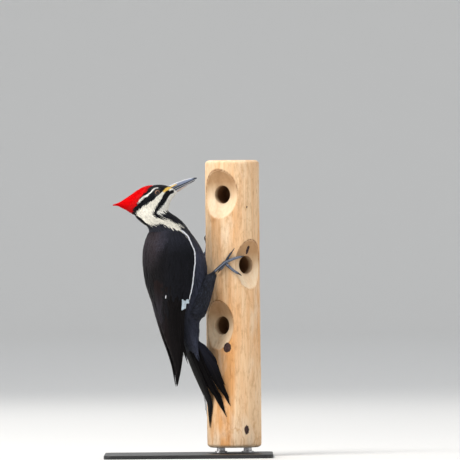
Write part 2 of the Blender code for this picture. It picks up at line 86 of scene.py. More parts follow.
def show(mesh, material, slot=None, *nodes):
    """An object for a mesh, in the scene. A piece of the model, given a slot, rides on the one body, and
    stands for these nodes."""
    made = bpy.data.objects.new(mesh.name, mesh)
    mesh.materials.append(material)
    bpy.context.scene.collection.objects.link(made)
    if slot:
        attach(made, "root")
    if nodes:
        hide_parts(*nodes)
    return made


def ring_faces(rows, around):
    """Quads between rows of closed rings, and fans that close both end rings about two more points."""
    index = np.arange(rows * around).reshape(rows, around)
    ahead = np.roll(index, -1, axis=1)
    quads = np.stack([index[:-1], ahead[:-1], ahead[1:], index[1:]], axis=-1).reshape(-1, 4)
    first, last = np.full(around, rows * around), np.full(around, rows * around + 1)
    fans = [np.stack([first, ahead[0], index[0]], axis=-1), np.stack([last, index[-1], ahead[-1]], axis=-1)]
    return quads, np.concatenate(fans)


def ring_solid(name, rings):
    """A closed surface through rings: rows of points going round anticlockwise as seen from the far end."""
    points = np.vstack([rings.reshape(-1, 3), rings[0].mean(0), rings[-1].mean(0)])
    return build_mesh(name, points, *ring_faces(*rings.shape[:2]))


def turned_rings(profile, around):
    """Rings about the upright axis: each (radius, z) of the profile, carried round a full circle."""
    angle = full_turn(around)
    radius, z = np.asarray(profile, float).T[:, :, None]
    return np.stack(np.broadcast_arrays(radius * np.cos(angle), radius * np.sin(angle), z), axis=-1)


def new_material(name):
    """A material, its node tree and its Principled shader."""
    made = bpy.data.materials.new(name)
    made.use_nodes = True
    return made, made.node_tree, made.node_tree.nodes["Principled BSDF"]


def feed(node, inputs):
    """Gives each of a node's inputs, by its label, a plain value or the socket that feeds it."""
    for label, value in inputs.items():
        if isinstance(value, bpy.types.NodeSocket):
            value.id_data.links.new(value, node.inputs[label])
        else:
            node.inputs[label].default_value = value
    return node


def add_to_scene(data):
    """An object for a lamp or a camera, in the scene."""
    made = bpy.data.objects.new(data.name, data)
    bpy.context.scene.collection.objects.link(made)
    return made


# Floor disc, quarter-round cove and wall: one profile turned about the upright axis, seen from inside.
bend = np.linspace(0, np.pi / 2, 24)[1:]
room_profile = [(r, 0) for r in (1, 400, 1500, 4000, ROOM_RADIUS)]
room_profile += [(ROOM_RADIUS + COVE_RADIUS * math.sin(a), COVE_RADIUS * (1 - math.cos(a))) for a in bend]
room_rings = turned_rings(room_profile + [(ROOM_RADIUS + COVE_RADIUS, WALL_HEIGHT)], 96)
room_quads = ring_faces(*room_rings.shape[:2])[0][:, ::-1]
room_paint, _, room_shader = new_material("room_paint")
feed(room_shader, {"Base Color": (0.8, 0.79, 0.77, 1), "Roughness": 0.9})
show(build_mesh("room", room_rings.reshape(-1, 3), room_quads, np.arange(96)[None, :]), room_paint)

for name, (place_m, aim_height, size, power, colour) in LAMPS.items():
    lamp = add_to_scene(bpy.data.lights.new(name, "AREA"))
    lamp.data.size, lamp.data.energy, lamp.data.color = size, power, colour
    lamp.location = place_m
    lamp.rotation_mode = "QUATERNION"
    lamp.rotation_quaternion = (Vector((0, 0, aim_height)) - Vector(place_m)).to_track_quat("-Z", "Y")

scene = bpy.context.scene
scene.world = bpy.data.worlds.new("studio_air")
scene.world.use_nodes = True
feed(scene.world.node_tree.nodes["Background"], {"Color": (0.93, 0.96, 1, 1), "Strength": 0.72})
scene.view_settings.view_transform = "Standard"

scene.camera = add_to_scene(bpy.data.cameras.new("camera"))
scene.camera.data.sensor_width, scene.camera.data.lens, scene.camera.data.clip_end = 36, CAMERA_LENS, 100
scene.camera.matrix_world = (Matrix.Translation(CAMERA_PLACE) @ Matrix.Rotation(math.radians(90), 4, "X")
                             @ Matrix.Rotation(math.radians(CAMERA_ROLL), 4, "Z"))


# ------------------------------------------------------------------
# Stand: a flat steel plate with rounded corners and a broken edge, painted satin black, and two
# turned steel rods, each with a collar that sits on the plate. They carry the log.
PLATE_CORNER, PLATE_EDGE, CORNER_STEPS = 12, 1.2, 14
ROD_RADIUS, COLLAR_RADIUS, COLLAR_HEIGHT = 6, 9, 2.2


def box_mm(node):
    """A node's lowest and highest corners in millimetres."""
    return np.array(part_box(node)) / MM


def plate_rings(low, high):
    """Rings up the plate's side and over its top: quarter circles about its four corner centres, drawn in
    by a quarter-round edge."""
    half, middle = (high[:2] - low[:2]) / 2, (high[:2] + low[:2]) / 2
    steps = [(0.5, low[2]), (0.15, low[2] + 0.15), (0, low[2] + 0.5)]
    steps += [(PLATE_EDGE * (1 - math.cos(a)), high[2] - PLATE_EDGE * (1 - math.sin(a)))
              for a in np.linspace(0, np.pi / 2, 7)]
    steps += [(inset, high[2]) for inset in (3, PLATE_CORNER - 1)]
    rings = []
    for inset, z in steps:
        corner = PLATE_CORNER - inset
        for number, signs in enumerate(((1, 1), (-1, 1), (-1, -1), (1, -1))):
            angle = np.linspace(0, np.pi / 2, CORNER_STEPS) + number * np.pi / 2
            flat = signs * (half - inset - corner) + corner * np.stack([np.cos(angle), np.sin(angle)], axis=1)
            rings.append(np.column_stack([flat + middle, np.full(CORNER_STEPS, z)]))
    return np.reshape(rings, (len(steps), -1, 3))


def add_node(tree, kind, inputs, **settings):
    """A shader node with settings of its own, fed as feed() says."""
    node = tree.nodes.new("ShaderNode" + kind)
    for setting, value in settings.items():
        setattr(node, setting, value)
    return feed(node, inputs)


def noise(tree, scale, detail, stretch=(1, 1, 1), roughness=0.55):
    """A noise texture on the piece's own coordinates in metres, stretched by a mapping."""
    where = add_node(tree, "TexCoord", {}).outputs["Object"]
    mapped = add_node(tree, "Mapping", {"Vector": where, "Scale": stretch}).outputs["Vector"]
    inputs = {"Vector": mapped, "Scale": scale, "Detail": detail, "Roughness": roughness}
    return add_node(tree, "TexNoise", inputs).outputs["Fac"]


def ramp(value, *stops):
    """A colour ramp on a value: stops are (position, colour), or (position, grey)."""
    node = add_node(value.id_data, "ValToRGB", {"Fac": value})
    points = node.color_ramp.elements
    while len(points) < len(stops):
        points.new(0.5)
    for point, (at, colour) in zip(points, stops):
        point.position = at
        point.color = (*np.broadcast_to(colour, 3), 1)
    return node.outputs["Color"]


def carry(value, low, high, start=0, end=1):
    """A value between start and end carried to low..high."""
    inputs = {"Value": value, "From Min": start, "From Max": end, "To Min": low, "To Max": high}
    return add_node(value.id_data, "MapRange", inputs).outputs["Result"]


def bump(shader, height, distance):
    """A bump of this height in metres on the shader's normal, over any bump already there."""
    inputs = {"Distance": distance, "Height": height}
    if shader.inputs["Normal"].is_linked:
        inputs["Normal"] = shader.inputs["Normal"].links[0].from_socket
    feed(shader, {"Normal": add_node(height.id_data, "Bump", inputs).outputs["Normal"]})


def mix(factor, first, second, blend="MIX"):
    """Two colours mixed by a factor: each is a socket or a plain value."""
    given = {0: factor, 6: first, 7: second}
    tree = next(value.id_data for value in given.values() if isinstance(value, bpy.types.NodeSocket))
    given = {place: (*value, 1) if isinstance(value, tuple) else value for place, value in given.items()}
    return add_node(tree, "Mix", given, data_type="RGBA", blend_type=blend).outputs[2]


def one_noise_finish(name, pattern, stops, smooth, rough, height, finer=None, metallic=0):
    """A finish that one noise runs through: its colours, its roughness, and a bump unless a finer noise
    makes that."""
    made, tree, shader = new_material(name)
    cloud = noise(tree, *pattern)
    feed(shader, {"Base Color": ramp(cloud, *stops), "Roughness": carry(cloud, smooth, rough),
                  "Metallic": metallic})
    bump(shader, noise(tree, *finer) if finer else cloud, height)
    return made


# Satin black paint with the fine orange peel of spraying; and steel whose fine turned rings break its gloss.
PAINT_BLACKS = ((0.3, (0.011, 0.011, 0.012)), (0.75, (0.021, 0.021, 0.022)))
STEEL_GREYS = ((0.3, (0.42, 0.42, 0.43)), (0.7, (0.62, 0.62, 0.63)))
plate_paint = one_noise_finish("plate_paint", (30, 4), PAINT_BLACKS, 0.34, 0.5, 0.00006, (900, 2))
rod_steel = one_noise_finish("rod_steel", (60, 3, (1, 1, 60)), STEEL_GREYS, 0.2, 0.42, 0.00005, metallic=1)
show(ring_solid("stand_plate", plate_rings(*box_mm("stand_base"))), plate_paint, "stand_plate", "stand_base")
for number in (1, 2):
    rod_low, rod_high = box_mm(f"stand_rod_{number}")
    foot, collar, top = rod_low[2], rod_low[2] + COLLAR_HEIGHT, rod_high[2]
    rod_profile = [(COLLAR_RADIUS - 0.3, foot), (COLLAR_RADIUS, foot + 0.3), (COLLAR_RADIUS, collar - 0.6),
                   (COLLAR_RADIUS - 0.18, collar - 0.18), (COLLAR_RADIUS - 0.6, collar),
                   (ROD_RADIUS + 0.35, collar), (ROD_RADIUS, collar + 0.35),
                   (ROD_RADIUS, top - 0.3), (ROD_RADIUS - 0.3, top)]
    rod_rings = turned_rings(rod_profile, 72) + np.append((rod_low + rod_high)[:2] / 2, 0)
    rod = show(ring_solid(f"stand_post_{number}", rod_rings), rod_steel, "stand_rod", f"stand_rod_{number}")
    rod.data.set_sharp_from_angle(angle=math.radians(40))


# ------------------------------------------------------------------
# Perch: a cut length of softwood, peeled with a draw knife and weathered, with three food ports. Each
# port is a shallow scoop round a drilled bore. Grain, knots and tool marks are in the mesh.
log_low, log_high = box_mm("perch_log")
LOG_X, LOG_Y = (log_low + log_high)[:2] / 2
LOG_RADIUS = (log_high - log_low)[0] / 2
LOG_BOTTOM, LOG_TOP = log_low[2], log_high[2]
LOG_CHAMFER = 4.5
# Ports: degrees right of the front, height, and how much narrower than the wood the gouge was, 1 as cut.
PORTS = ((-32, 373.5, 0.84), (42, 273.5, 1), (-36, 187.5, 1))
SCOOP_HALF_HEIGHT, SCOOP_DEPTH = 36, 13
SCOOP_RADIUS = (SCOOP_HALF_HEIGHT**2 + SCOOP_DEPTH**2) / (2 * SCOOP_DEPTH)
SCOOP_CENTRE = LOG_RADIUS - SCOOP_DEPTH + SCOOP_RADIUS
BORE_RADIUS, BORE_FLOOR = 13, -4
# Knots: degrees right of the front, height, half width, half height, darkness.
KNOTS = ((-13.9, 156.2, 5.6, 6.6, 1), (27.6, 38.9, 4.3, 7.2, 0.55), (32.1, 355.5, 1, 1.1, 1),
         (44, 294.5, 3.2, 6, 0.95), (150, 250, 6, 7.5, 0.8), (-120, 90, 4.5, 5.5, 0.7),
         (-155, 330, 5, 6.5, 0.9), (105, 120, 3, 4, 0.8))
LOG_AROUND, LOG_ROWS = 296, 290
CHANCE_TABLE = 512  # side of a table of random heights


def unit(x):
    """Held to between 0 and 1."""
    return np.clip(x, 0, 1)


def waver(x, y, seed, period):
    """Smooth value noise: random heights on whole numbers, eased between them. x repeats after period."""
    table = np.random.default_rng(seed).uniform(-1, 1, (CHANCE_TABLE, CHANCE_TABLE))
    x0, y0 = np.floor(x).astype(int), np.floor(y).astype(int)
    fx, fy = x - x0, y - y0
    fx, fy = fx * fx * (3 - 2 * fx), fy * fy * (3 - 2 * fy)
    left, right = x0 % period, (x0 + 1) % period
    rows = (y0 % CHANCE_TABLE, (y0 + 1) % CHANCE_TABLE)
    low, high = (table[left, row] * (1 - fx) + table[right, row] * fx for row in rows)
    return low * (1 - fy) + high * fy


def turned_from(degrees, middle):
    """Radians from a direction, the short way round."""
    return np.radians((degrees - middle + 180) % 360 - 180)


def knot_field(degrees, z):
    """How near each point is to a knot: 1 at its heart, 0 from its rim on; and the wave of grain round it."""
    heart, wave = np.zeros_like(z), np.zeros_like(z)
    for turn, height, half_width, half_height, dark in KNOTS:
        far = np.hypot(turned_from(degrees, turn) * LOG_RADIUS / half_width, (z - height) / half_height)
        heart = np.maximum(heart, dark * unit(1.25 - far))
        wave += np.exp(-((far / 2.4) ** 2)) * np.sin(far * 5) * dark
    return heart, wave


def scoop_radius(degrees, z, port):
    """Where a port's scoop lies, from the log's axis: a sphere's near side, and far out where it has none."""
    aside = turned_from(degrees, port[0]) * port[2]
    under = SCOOP_RADIUS**2 - (z - port[1]) ** 2 - (SCOOP_CENTRE * np.sin(aside)) ** 2
    found = SCOOP_CENTRE * np.cos(aside) - np.sqrt(np.clip(under, 0, None))
    return np.where((under > 0) & (np.cos(aside) > 0), found, 2 * LOG_RADIUS)


def log_surface(degrees, z):
    """Radius of the log: a slightly oval round with flats from peeling, fine upright grain, checks and
    knots, lowered to a sphere's surface in each scoop, where a gouge has left ripples."""
    def grain(across, tall, seed):
        return waver(degrees / 360 * across, z / tall, seed, across)
    flats = 0.35 * grain(17, 95, 3) + 0.2 * grain(41, 60, 4)
    fine = 0.14 * grain(130, 22, 5) + 0.1 * grain(260, 5, 6)
    fine += 0.16 * grain(70, 7, 11)
    check = unit(grain(60, 75, 7) - 0.62) * -1.6
    heart, wave = knot_field(degrees, z)
    radius = LOG_RADIUS - 0.55 + flats + fine + check + 0.16 * wave + 0.35 * unit(1.4 * heart)
    end = np.minimum(z - LOG_BOTTOM, LOG_TOP - z)
    radius -= np.clip(LOG_CHAMFER - end, 0, None) ** 2 / LOG_CHAMFER * (1 + 0.25 * flats)
    for port in PORTS:
        below = (port[1] - z) / 30
        far = np.hypot(turned_from(degrees, port[0]) * LOG_RADIUS, z - port[1])
        ripple = 0.22 * np.sin(far * 1.15 + 2.2 * waver(degrees / 360 * 40, z / 12, 9, 40))
        fibre = 0.35 * unit(below) * waver(degrees / 360 * 220, z / 5, 10, 220)
        ragged = 0.5 * waver(degrees / 360 * 90, z / 6, 8, 90) * (below > 0.67)
        radius = np.minimum(radius, scoop_radius(degrees, z, port) + ripple + fibre + ragged)
    return radius


def log_point(degrees, radius, z):
    """A world point from degrees right of the front, distance from the log's axis, and height."""
    angle = np.radians(degrees)
    x, y = LOG_X + radius * np.sin(angle), LOG_Y - radius * np.cos(angle)
    return np.stack(np.broadcast_arrays(x, y, z), axis=-1)


def make_log_mesh():
    """The log's side as a grid of radius over turn and height, drawn in over both ends to their middles."""
    degrees, z = np.meshgrid(np.linspace(0, 360, LOG_AROUND, endpoint=False),
                             np.linspace(LOG_BOTTOM, LOG_TOP, LOG_ROWS))
    radius = log_surface(degrees, z)
    share = np.array([0.04, 0.35, 0.7])[:, None]
    under, over = (log_point(degrees[:3], radius[row] * share, z[row, :3, None]) for row in (0, -1))
    return ring_solid("perch_wood", np.concatenate([under, log_point(degrees, radius, z), over[::-1]]))


def bore_cutter(turn, height):
    """A drill's path: rings of the bore's radius with a fine spiral, along the line out of the log's axis."""
    along = np.linspace(BORE_FLOOR, LOG_RADIUS + 6, 50)[:, None]
    angle = full_turn(64)[None, :]
    radius = BORE_RADIUS + 0.18 * np.sin(along * 2.2 + angle) + 0.15 * np.sin(3 * angle + along * 0.4)
    a = math.radians(turn)
    out, across = np.array([math.sin(a), -math.cos(a), 0]), np.array([math.cos(a), math.sin(a), 0])
    line = np.array([LOG_X, LOG_Y, height]) + along[..., None] * out
    rings = line + (radius * np.cos(angle))[..., None] * across
    return ring_solid("bore", rings + (radius * np.sin(angle))[..., None] * np.array([0, 0, 1]))


def combine(piece, operation, meshes):
    """Exact unions or differences of a piece with other closed meshes, applied to its mesh."""
    helpers = [add_to_scene(mesh) for mesh in meshes]
    for helper in helpers:
        step = piece.modifiers.new("step", "BOOLEAN")
        step.operation, step.solver, step.object = operation, "MANIFOLD", helper
    bpy.context.view_layer.update()
    seen = piece.evaluated_get(bpy.context.evaluated_depsgraph_get())
    made = bpy.data.meshes.new_from_object(seen)
    piece.modifiers.clear()
    piece.data = made
    for helper in helpers:
        bpy.data.objects.remove(helper)


def point_array(mesh):
    """All of a mesh's points, in millimetres."""
    found = np.empty(len(mesh.vertices) * 3, np.float32)
    mesh.vertices.foreach_get("co", found)
    return found.reshape(-1, 3).astype(float) / MM


def paint_values(mesh, **values):
    """Numbers for each point of the mesh, for its material to read by name."""
    for name, numbers in values.items():
        mesh.attributes.new(name, "FLOAT", "POINT").data.foreach_set("value", np.asarray(numbers, np.float32))


def stain_log(mesh):
    """Values for the wood's material: knots' hearts; the bores dark inside with painted shade and a little
    darker round their mouths; and in the scoops the bare cut, their upper halves darkened by weathering and
    painted shade, and a painted shadow along their rims, strongest at the top."""
    x, y, z = point_array(mesh).T
    degrees = np.degrees(np.arctan2(x - LOG_X, -(y - LOG_Y)))
    depth = LOG_RADIUS - np.hypot(x - LOG_X, y - LOG_Y)
    stain, weathered, brink = np.zeros((3, len(z)))
    for port in PORTS:
        a, up = math.radians(port[0]), z - port[1]
        out = (x - LOG_X) * math.sin(a) - (y - LOG_Y) * math.cos(a)
        far = np.hypot((x - LOG_X) * math.cos(a) + (y - LOG_Y) * math.sin(a), up)
        # painted shade: the bore's walls and floor darkened as if unlit; the rim darkens a little round its
        # mouth
        hole = unit((LOG_RADIUS - SCOOP_DEPTH - out) / 9) * (far < BORE_RADIUS + 0.8) * (out > BORE_FLOOR - 1)
        rim = unit(1 - (far - BORE_RADIUS) / 5) * (out > 0) * 0.15
        stain = np.maximum(stain, np.maximum(hole, rim * (depth > 1.5)))
        # weathering and painted shade: the scoop's upper half darkened
        over = unit((up + 8) / 26) * unit((depth - 0.9) / 0.9)
        weathered = np.maximum(weathered, over * (far < SCOOP_HALF_HEIGHT + 2) * (out > 0))
        rise = scoop_radius(degrees, z, port) - LOG_RADIUS
        # painted shadow: a dark line along the scoop's rim, strongest at its upper edge
        brink = np.maximum(brink, np.exp(-(((rise + 0.3) / 0.9) ** 2)) * np.clip((up + 12) / 22, 0.15, 1))
    face = (np.minimum(z - LOG_BOTTOM, LOG_TOP - z) > 3) | (depth < 5)
    heart, cut = knot_field(degrees, z)[0], unit((depth - 1.1) / 1.2)
    paint_values(mesh, knot=heart * face, stain=stain, cut=cut * face, weathered=weathered * face,
                 brink=brink * face)


def painted(tree, name):
    """A value painted on the mesh."""
    return add_node(tree, "Attribute", {}, attribute_name=name).outputs["Fac"]


def make_wood():
    """Peeled, weather-worn softwood: cream with upright orange and tan streaks, rough in the ports. The
    scoops' upper halves are darkened by weathering and painted shade, their rims by painted shadow, and the
    bores by painted shade.
    """
    wood, tree, shader = new_material("peeled_wood")
    streak = noise(tree, 120, 5, (1, 1, 0.045), 0.65)
    fibre = noise(tree, 750, 4, (1, 1, 0.035), 0.7)
    base = ramp(streak, (0.28, (0.77, 0.46, 0.24)), (0.45, (0.83, 0.55, 0.32)), (0.62, (0.88, 0.63, 0.39)),
                (0.8, (0.92, 0.72, 0.49)))
    base = mix(ramp(noise(tree, 26, 4, (1, 1, 0.1)), (0.48, 0), (0.64, 0.85)), base, (0.76, 0.36, 0.12))
    base = mix(ramp(noise(tree, 38, 3, (1, 1, 0.35)), (0.52, 0), (0.68, 0.6)), base, (0.92, 0.74, 0.54))
    scuffs = ramp(noise(tree, 210, 6, (1, 1, 0.3), 0.72), (0.34, (0.66, 0.54, 0.43)), (0.5, 1))
    base = mix(0.62, base, scuffs, "MULTIPLY")
    base = mix(0.56, base, ramp(fibre, (0.3, (0.7, 0.64, 0.58)), (0.52, 1)), "MULTIPLY")
    curl = ramp(noise(tree, 44, 2, (1, 1, 0.55), 0.5), (0.465, 0), (0.5, 0.5), (0.512, 0))
    curled = ramp(noise(tree, 16, 2, (1, 1, 0.7)), (0.5, 0), (0.6, 1))
    base = mix(mix(1, curl, curled, "MULTIPLY"), base, (0.58, 0.29, 0.11))
    fresh = ramp(streak, (0.3, (0.84, 0.61, 0.38)), (0.7, (0.96, 0.81, 0.6)))
    base = mix(carry(painted(tree, "cut"), 0, 0.75), base, fresh)
    # weathering and painted shade: a brown that darkens the scoops' upper halves
    dirt_and_shade = mix(streak, (0.24, 0.1, 0.035), (0.55, 0.3, 0.12))
    base = mix(carry(painted(tree, "weathered"), 0, 0.85), base, dirt_and_shade)
    # painted shadow along the scoops' rims, broken by torn fibres
    torn = ramp(noise(tree, 300, 5, (1, 1, 0.5), 0.7), (0.36, 0.3), (0.54, 1))
    base = mix(mix(1, painted(tree, "brink"), torn, "MULTIPLY"), base, (0.2, 0.075, 0.022))
    knot_rings = noise(tree, 420, 3)
    knot = ramp(knot_rings, (0.35, (0.026, 0.013, 0.013)), (0.65, (0.07, 0.036, 0.032)))
    heart = ramp(mix(0.3, painted(tree, "knot"), knot_rings, "ADD"), (0.28, 0), (0.4, 1))
    base = mix(heart, base, knot)
    # painted shade down the bores
    base = mix(painted(tree, "stain"), base, (0.15, 0.07, 0.028))
    feed(shader, {"Base Color": base, "Roughness": carry(streak, 0.62, 0.85), "Specular IOR Level": 0.25})
    bump(shader, fibre, 0.0004)
    bump(shader, noise(tree, 1600, 3, (1, 1, 0.2)), 0.00015)
    return wood


perch = show(make_log_mesh(), make_wood(), "peeled_wood", "perch_log")
combine(perch, "DIFFERENCE", [bore_cutter(*port[:2]) for port in PORTS])
stain_log(perch.data)


# ------------------------------------------------------------------
# Bird's form: its trunk, neck and head are one run of oval sections from the root of the tail to the
# base of the bill. The skin follows it all the way, a coat's depth inside the outer surface.
NAPE_X, NAPE_Y = -47, -44.7
BODY_TURN, HEAD_TURN = 30, 8
SIDES = {"right": 1, "left": -1}
# back (ahead, z), front (ahead, z), half width, turn
BODY = np.array([
    (44, 168.6, 67.5, 168.6, 21, 30), (36, 182, 69.5, 180, 22, 30), (27.9, 195, 70.2, 192, 22.5, 30),
    (18.9, 206, 78.1, 203, 27, 30), (10, 218, 83.5, 216, 31.5, 30), (1.1, 232, 85.5, 230, 35, 30),
    (-5, 248, 84.7, 246, 37, 30), (-8.4, 264, 82.9, 262, 37.5, 30), (-9.9, 280, 80.9, 278, 37.5, 30),
    (-9.3, 295, 75.4, 293.6, 36, 30), (-6.2, 309, 66.4, 308, 33, 30), (-3.8, 321, 55.9, 321.5, 28, 30),
    (-7.3, 328, 45.8, 333.8, 24, 28), (-14.1, 332, 36.1, 341.5, 21.5, 25),
    (-20.2, 336.8, 26.6, 347.2, 19.8, 19), (-25.3, 342, 21.2, 351.2, 18.8, 14),
    (-27.7, 349, 21.3, 353.5, 18.3, 10), (-27.6, 358, 22.1, 356.5, 18.2, 8),
    (-24.1, 368, 22.9, 359.5, 18, 8), (-17, 377.5, 24.1, 362.7, 17.6, 8),
    (-8.9, 383.8, 25.8, 365.8, 16.8, 8), (-0.3, 387.4, 28.1, 369, 15.2, 8),
    (8.7, 388.2, 30.6, 372, 12.6, 8), (16.3, 387.4, 33, 375, 9.6, 8), (21.8, 385.8, 35, 377.6, 6.6, 8),
])
# The crest, from its tip to inside the skull: top (ahead, z), bottom (ahead, z), half width, turn.
CREST = np.array([
    (-58.9, 359.8, -58.9, 359, 0.7, 8), (-48.5, 363.6, -50.5, 358.2, 3.8, 8),
    (-39.4, 369.3, -43, 354.2, 7.6, 8), (-30.3, 375.4, -35, 349.6, 11, 8),
    (-21.2, 381.6, -27.5, 345.2, 13.5, 8), (-11, 386.7, -19, 343.6, 14.5, 8), (2, 388.4, -8, 350, 10.5, 8),
])
# Thigh from the belly to the ankle: ahead, right, z, radius.
THIGH = np.array([
    (57, 18.5, 199, 8.5), (57, 19.5, 203.5, 13.6), (57.2, 20.5, 212, 15.8), (60, 22, 225, 17),
    (66, 25, 238, 14.6), (72.5, 29.1, 250, 10.4), (78, 32.4, 259, 5.6), (80, 33.4, 263.5, 3.6),
])
# Plumage along the body: station, depth of the coat, spacing of the feathers, their length.
COAT = np.array([
    (0, 1.6, 2.9, 13), (2, 2.2, 2.9, 14), (6, 2.6, 3, 14), (10, 2.6, 2.9, 13), (12, 2.2, 2.4, 11.5),
    (14, 1.9, 1.85, 9.5), (16, 1.6, 1.6, 8.5), (18, 1.3, 1.28, 6.6), (20, 1, 1.08, 5.2), (22, 0.8, 1, 4.2),
    (24, 0.45, 0.9, 3.2),
])
SKIN_SPACING = 0.47  # of the feathers' own spacing
# Eyes: where each eyeball's middle is in the head's frame, its radius, and the opening of its lids.
EYE_AHEAD, EYE_Z, EYE_OUT = 3.9, 376.9, 12.2
EYE_RADIUS, LID_OPENING = 5.1, 3.8


def between(rows, station):
    """Rows of a table at fractional stations, on Catmull-Rom curves, straight on before the first."""
    rows = np.asarray(rows, float)
    padded = np.vstack([2 * rows[0] - rows[1], rows, 2 * rows[-1] - rows[-2]])
    station = np.minimum(np.asarray(station, float), len(rows) - 1 - 1e-9)
    whole = np.maximum(np.floor(station), 0).astype(int)
    t = (station - whole)[..., None]
    p0, p1, p2, p3 = (padded[whole + i] for i in range(4))
    curve = p1 + 0.5 * t * (p2 - p0 + t * (2 * p0 - 5 * p1 + 4 * p2 - p3 + t * (3 * (p1 - p2) + p3 - p0)))
    return np.where(t < 0, p1 + t * (p2 - p1), curve)


def place(ahead, right, z, turn=BODY_TURN):
    """World points from the bird's frame: ahead and right are turned about the nape's upright line."""
    angle = np.radians(turn)
    x = NAPE_X + ahead * np.cos(angle) + right * np.sin(angle)
    y = NAPE_Y + ahead * np.sin(angle) - right * np.cos(angle)
    return np.stack(np.broadcast_arrays(x, y, z), axis=-1)


def length_of(vectors):
    """Lengths along the last axis."""
    return np.linalg.norm(vectors, axis=-1)


def oval_point(table, station, angle, height):
    """A point of a run of ovals: middle + reach * cos(angle) in the bird's plane, half width * sin(angle)
    to the right, both grown by the height above the surface."""
    rows = between(table, station)
    back, front, width, turn = rows[..., 0:2], rows[..., 2:4], rows[..., 4], rows[..., 5]
    middle, reach = (back + front) / 2, (back - front) / 2
    line = middle + reach * ((1 + height / length_of(reach)) * np.cos(angle))[..., None]
    return place(line[..., 0], (width + height) * np.sin(angle), line[..., 1], turn)


def eye_distance(points):
    """How far each point is from the line through both pupils, which runs straight across the head."""
    turn = np.radians(HEAD_TURN)
    ahead = (points[..., 0] - NAPE_X) * np.cos(turn) + (points[..., 1] - NAPE_Y) * np.sin(turn)
    return np.hypot(ahead - EYE_AHEAD, points[..., 2] - EYE_Z)


def body_point(station, angle, height):
    """The plumage's outer surface, or height above it: angle 0 is the back, 90 degrees the right side.
    The face swells 1.2 mm round each eye and sinks 0.9 mm in the lores ahead of it."""
    flat = oval_point(BODY, station, angle, height)
    swell = 1.2 * np.exp(-((eye_distance(flat) - 4.6) / 2.2) ** 2)
    lores = np.hypot(flat[..., 0] - NAPE_X - 14, flat[..., 2] - 379)
    swell = (swell - 0.9 * np.exp(-((lores / 4) ** 2))) * (np.asarray(station) > 17)
    return oval_point(BODY, station, angle, height + swell * np.abs(np.sin(angle)) ** 2)


def crest_point(station, angle, height):
    """The crest's outer surface, from its tip, or height above it."""
    return oval_point(CREST, station, angle, height)


def thigh_point(sign):
    """The surface of one thigh: a circle of the table's radius, square to the curve through its middles."""
    def middle(at):
        rows = between(THIGH, at)
        return place(rows[..., 0], sign * rows[..., 1], rows[..., 2]), rows[..., 3]

    def point(station, angle, height):
        centre, radius = middle(station)
        along = middle(np.asarray(station) + 0.03)[0] - middle(np.asarray(station) - 0.03)[0]
        along /= length_of(along)[..., None]
        across = np.cross(along, (0, 0, 1))
        across /= length_of(across)[..., None]
        ring = np.cos(angle)[..., None] * across + np.sin(angle)[..., None] * np.cross(along, across)
        return centre + (radius + height)[..., None] * ring
    return point


def coat(station, column):
    """The coat's depth (1), spacing (2) or feather length (3) at a station of the body."""
    return np.interp(station, COAT[:, 0], COAT[:, column])


def run_of(path):
    """Millimetres along a path at each of its points."""
    return np.append(0, np.cumsum(length_of(np.diff(path, axis=0))))


def spaced_rows(surface, low, high, spacing_at, angles=(0, np.pi / 2, np.pi)):
    """Stations of a surface from low to high, as far apart as spacing_at says in millimetres, by the mean
    length of the lines at these angles."""
    fine = np.linspace(low, high, 1500)
    sides = [surface(fine, np.full_like(fine, angle), 0 * fine) for angle in angles]
    run = np.mean([length_of(np.diff(side, axis=0)) for side in sides], axis=0)
    count = np.append(0, np.cumsum(run / spacing_at(fine[1:])))
    return np.interp(np.linspace(0, count[-1], int(count[-1]) + 1), count, fine)


def loft_grid(surface, stations, around, height):
    """Rings of a surface at these stations, all round, each at its own height."""
    station, angle = np.meshgrid(stations, full_turn(around), indexing="ij")
    return surface(station, angle, np.broadcast_to(np.reshape(height, (-1, 1)), station.shape))


# ------------------------------------------------------------------
# Markings of an adult female: crown black in front and scarlet behind, white brow, cheek and throat,
# black eye band and moustache, a white stripe down the neck, and the rest slaty black. Each stripe is
# a curve with a half width, in the bird's own side view, and the skin and the coat both carry them.
BROW = [
    (6.8, 383.2, 0.5), (4.4, 383.3, 0.7), (1.7, 382.5, 0.9), (-0.7, 380.2, 0.95), (-3, 377.6, 0.9),
    (-7, 374.2, 1.1), (-11.7, 371.4, 1.5), (-16, 368.2, 1.5), (-18.9, 365.1, 1.1), (-20.9, 362.2, 0.5),
]
CHEEK = [
    (15.9, 378.1, 1.4), (12.7, 374.7, 2.1), (8.7, 369.7, 3.3), (4.1, 364.6, 4.1), (-1, 358.7, 5.5),
    (-6.5, 352.7, 7.4), (-10.8, 347.1, 9.4), (-8, 340.8, 8.5),
]
CHEEK_BACK = [(-10.8, 349.7, 7.1), (-17.2, 348, 5.7), (-21.4, 346.9, 3.4)]
NECK_STRIPE = [
    (-9.4, 341.8, 7.1), (-3.1, 337.1, 6.8), (5.5, 336.7, 4.8), (14, 335.8, 4.1), (21.8, 333.2, 4.8),
    (29.5, 329.2, 4.4), (35.9, 324.3, 2.9), (40.1, 319.7, 2.3), (44.6, 314.4, 1.8), (48, 309.5, 1.2),
]
NECK_WISP = [(32.4, 332.3, 1.1), (37.4, 330.4, 0.9), (42.5, 328.8, 0.4)]
MOUSTACHE = [
    (27.5, 378.2, 2.2), (22.5, 375.9, 2.6), (19.3, 373.5, 3.4), (16.7, 368.6, 3.5), (13.2, 363.2, 3.3),
    (9.5, 357.7, 2.7), (5.4, 352.6, 1.8), (2.3, 348.7, 1.4), (0, 345.9, 1.1), (4.1, 343.6, 1.2),
    (10.5, 341.8, 1.5),
]
LORES = [
    (25, 384, 1.1), (21.2, 382.8, 1.8), (17.9, 380.7, 1.8), (15.3, 378.4, 1.5),
]
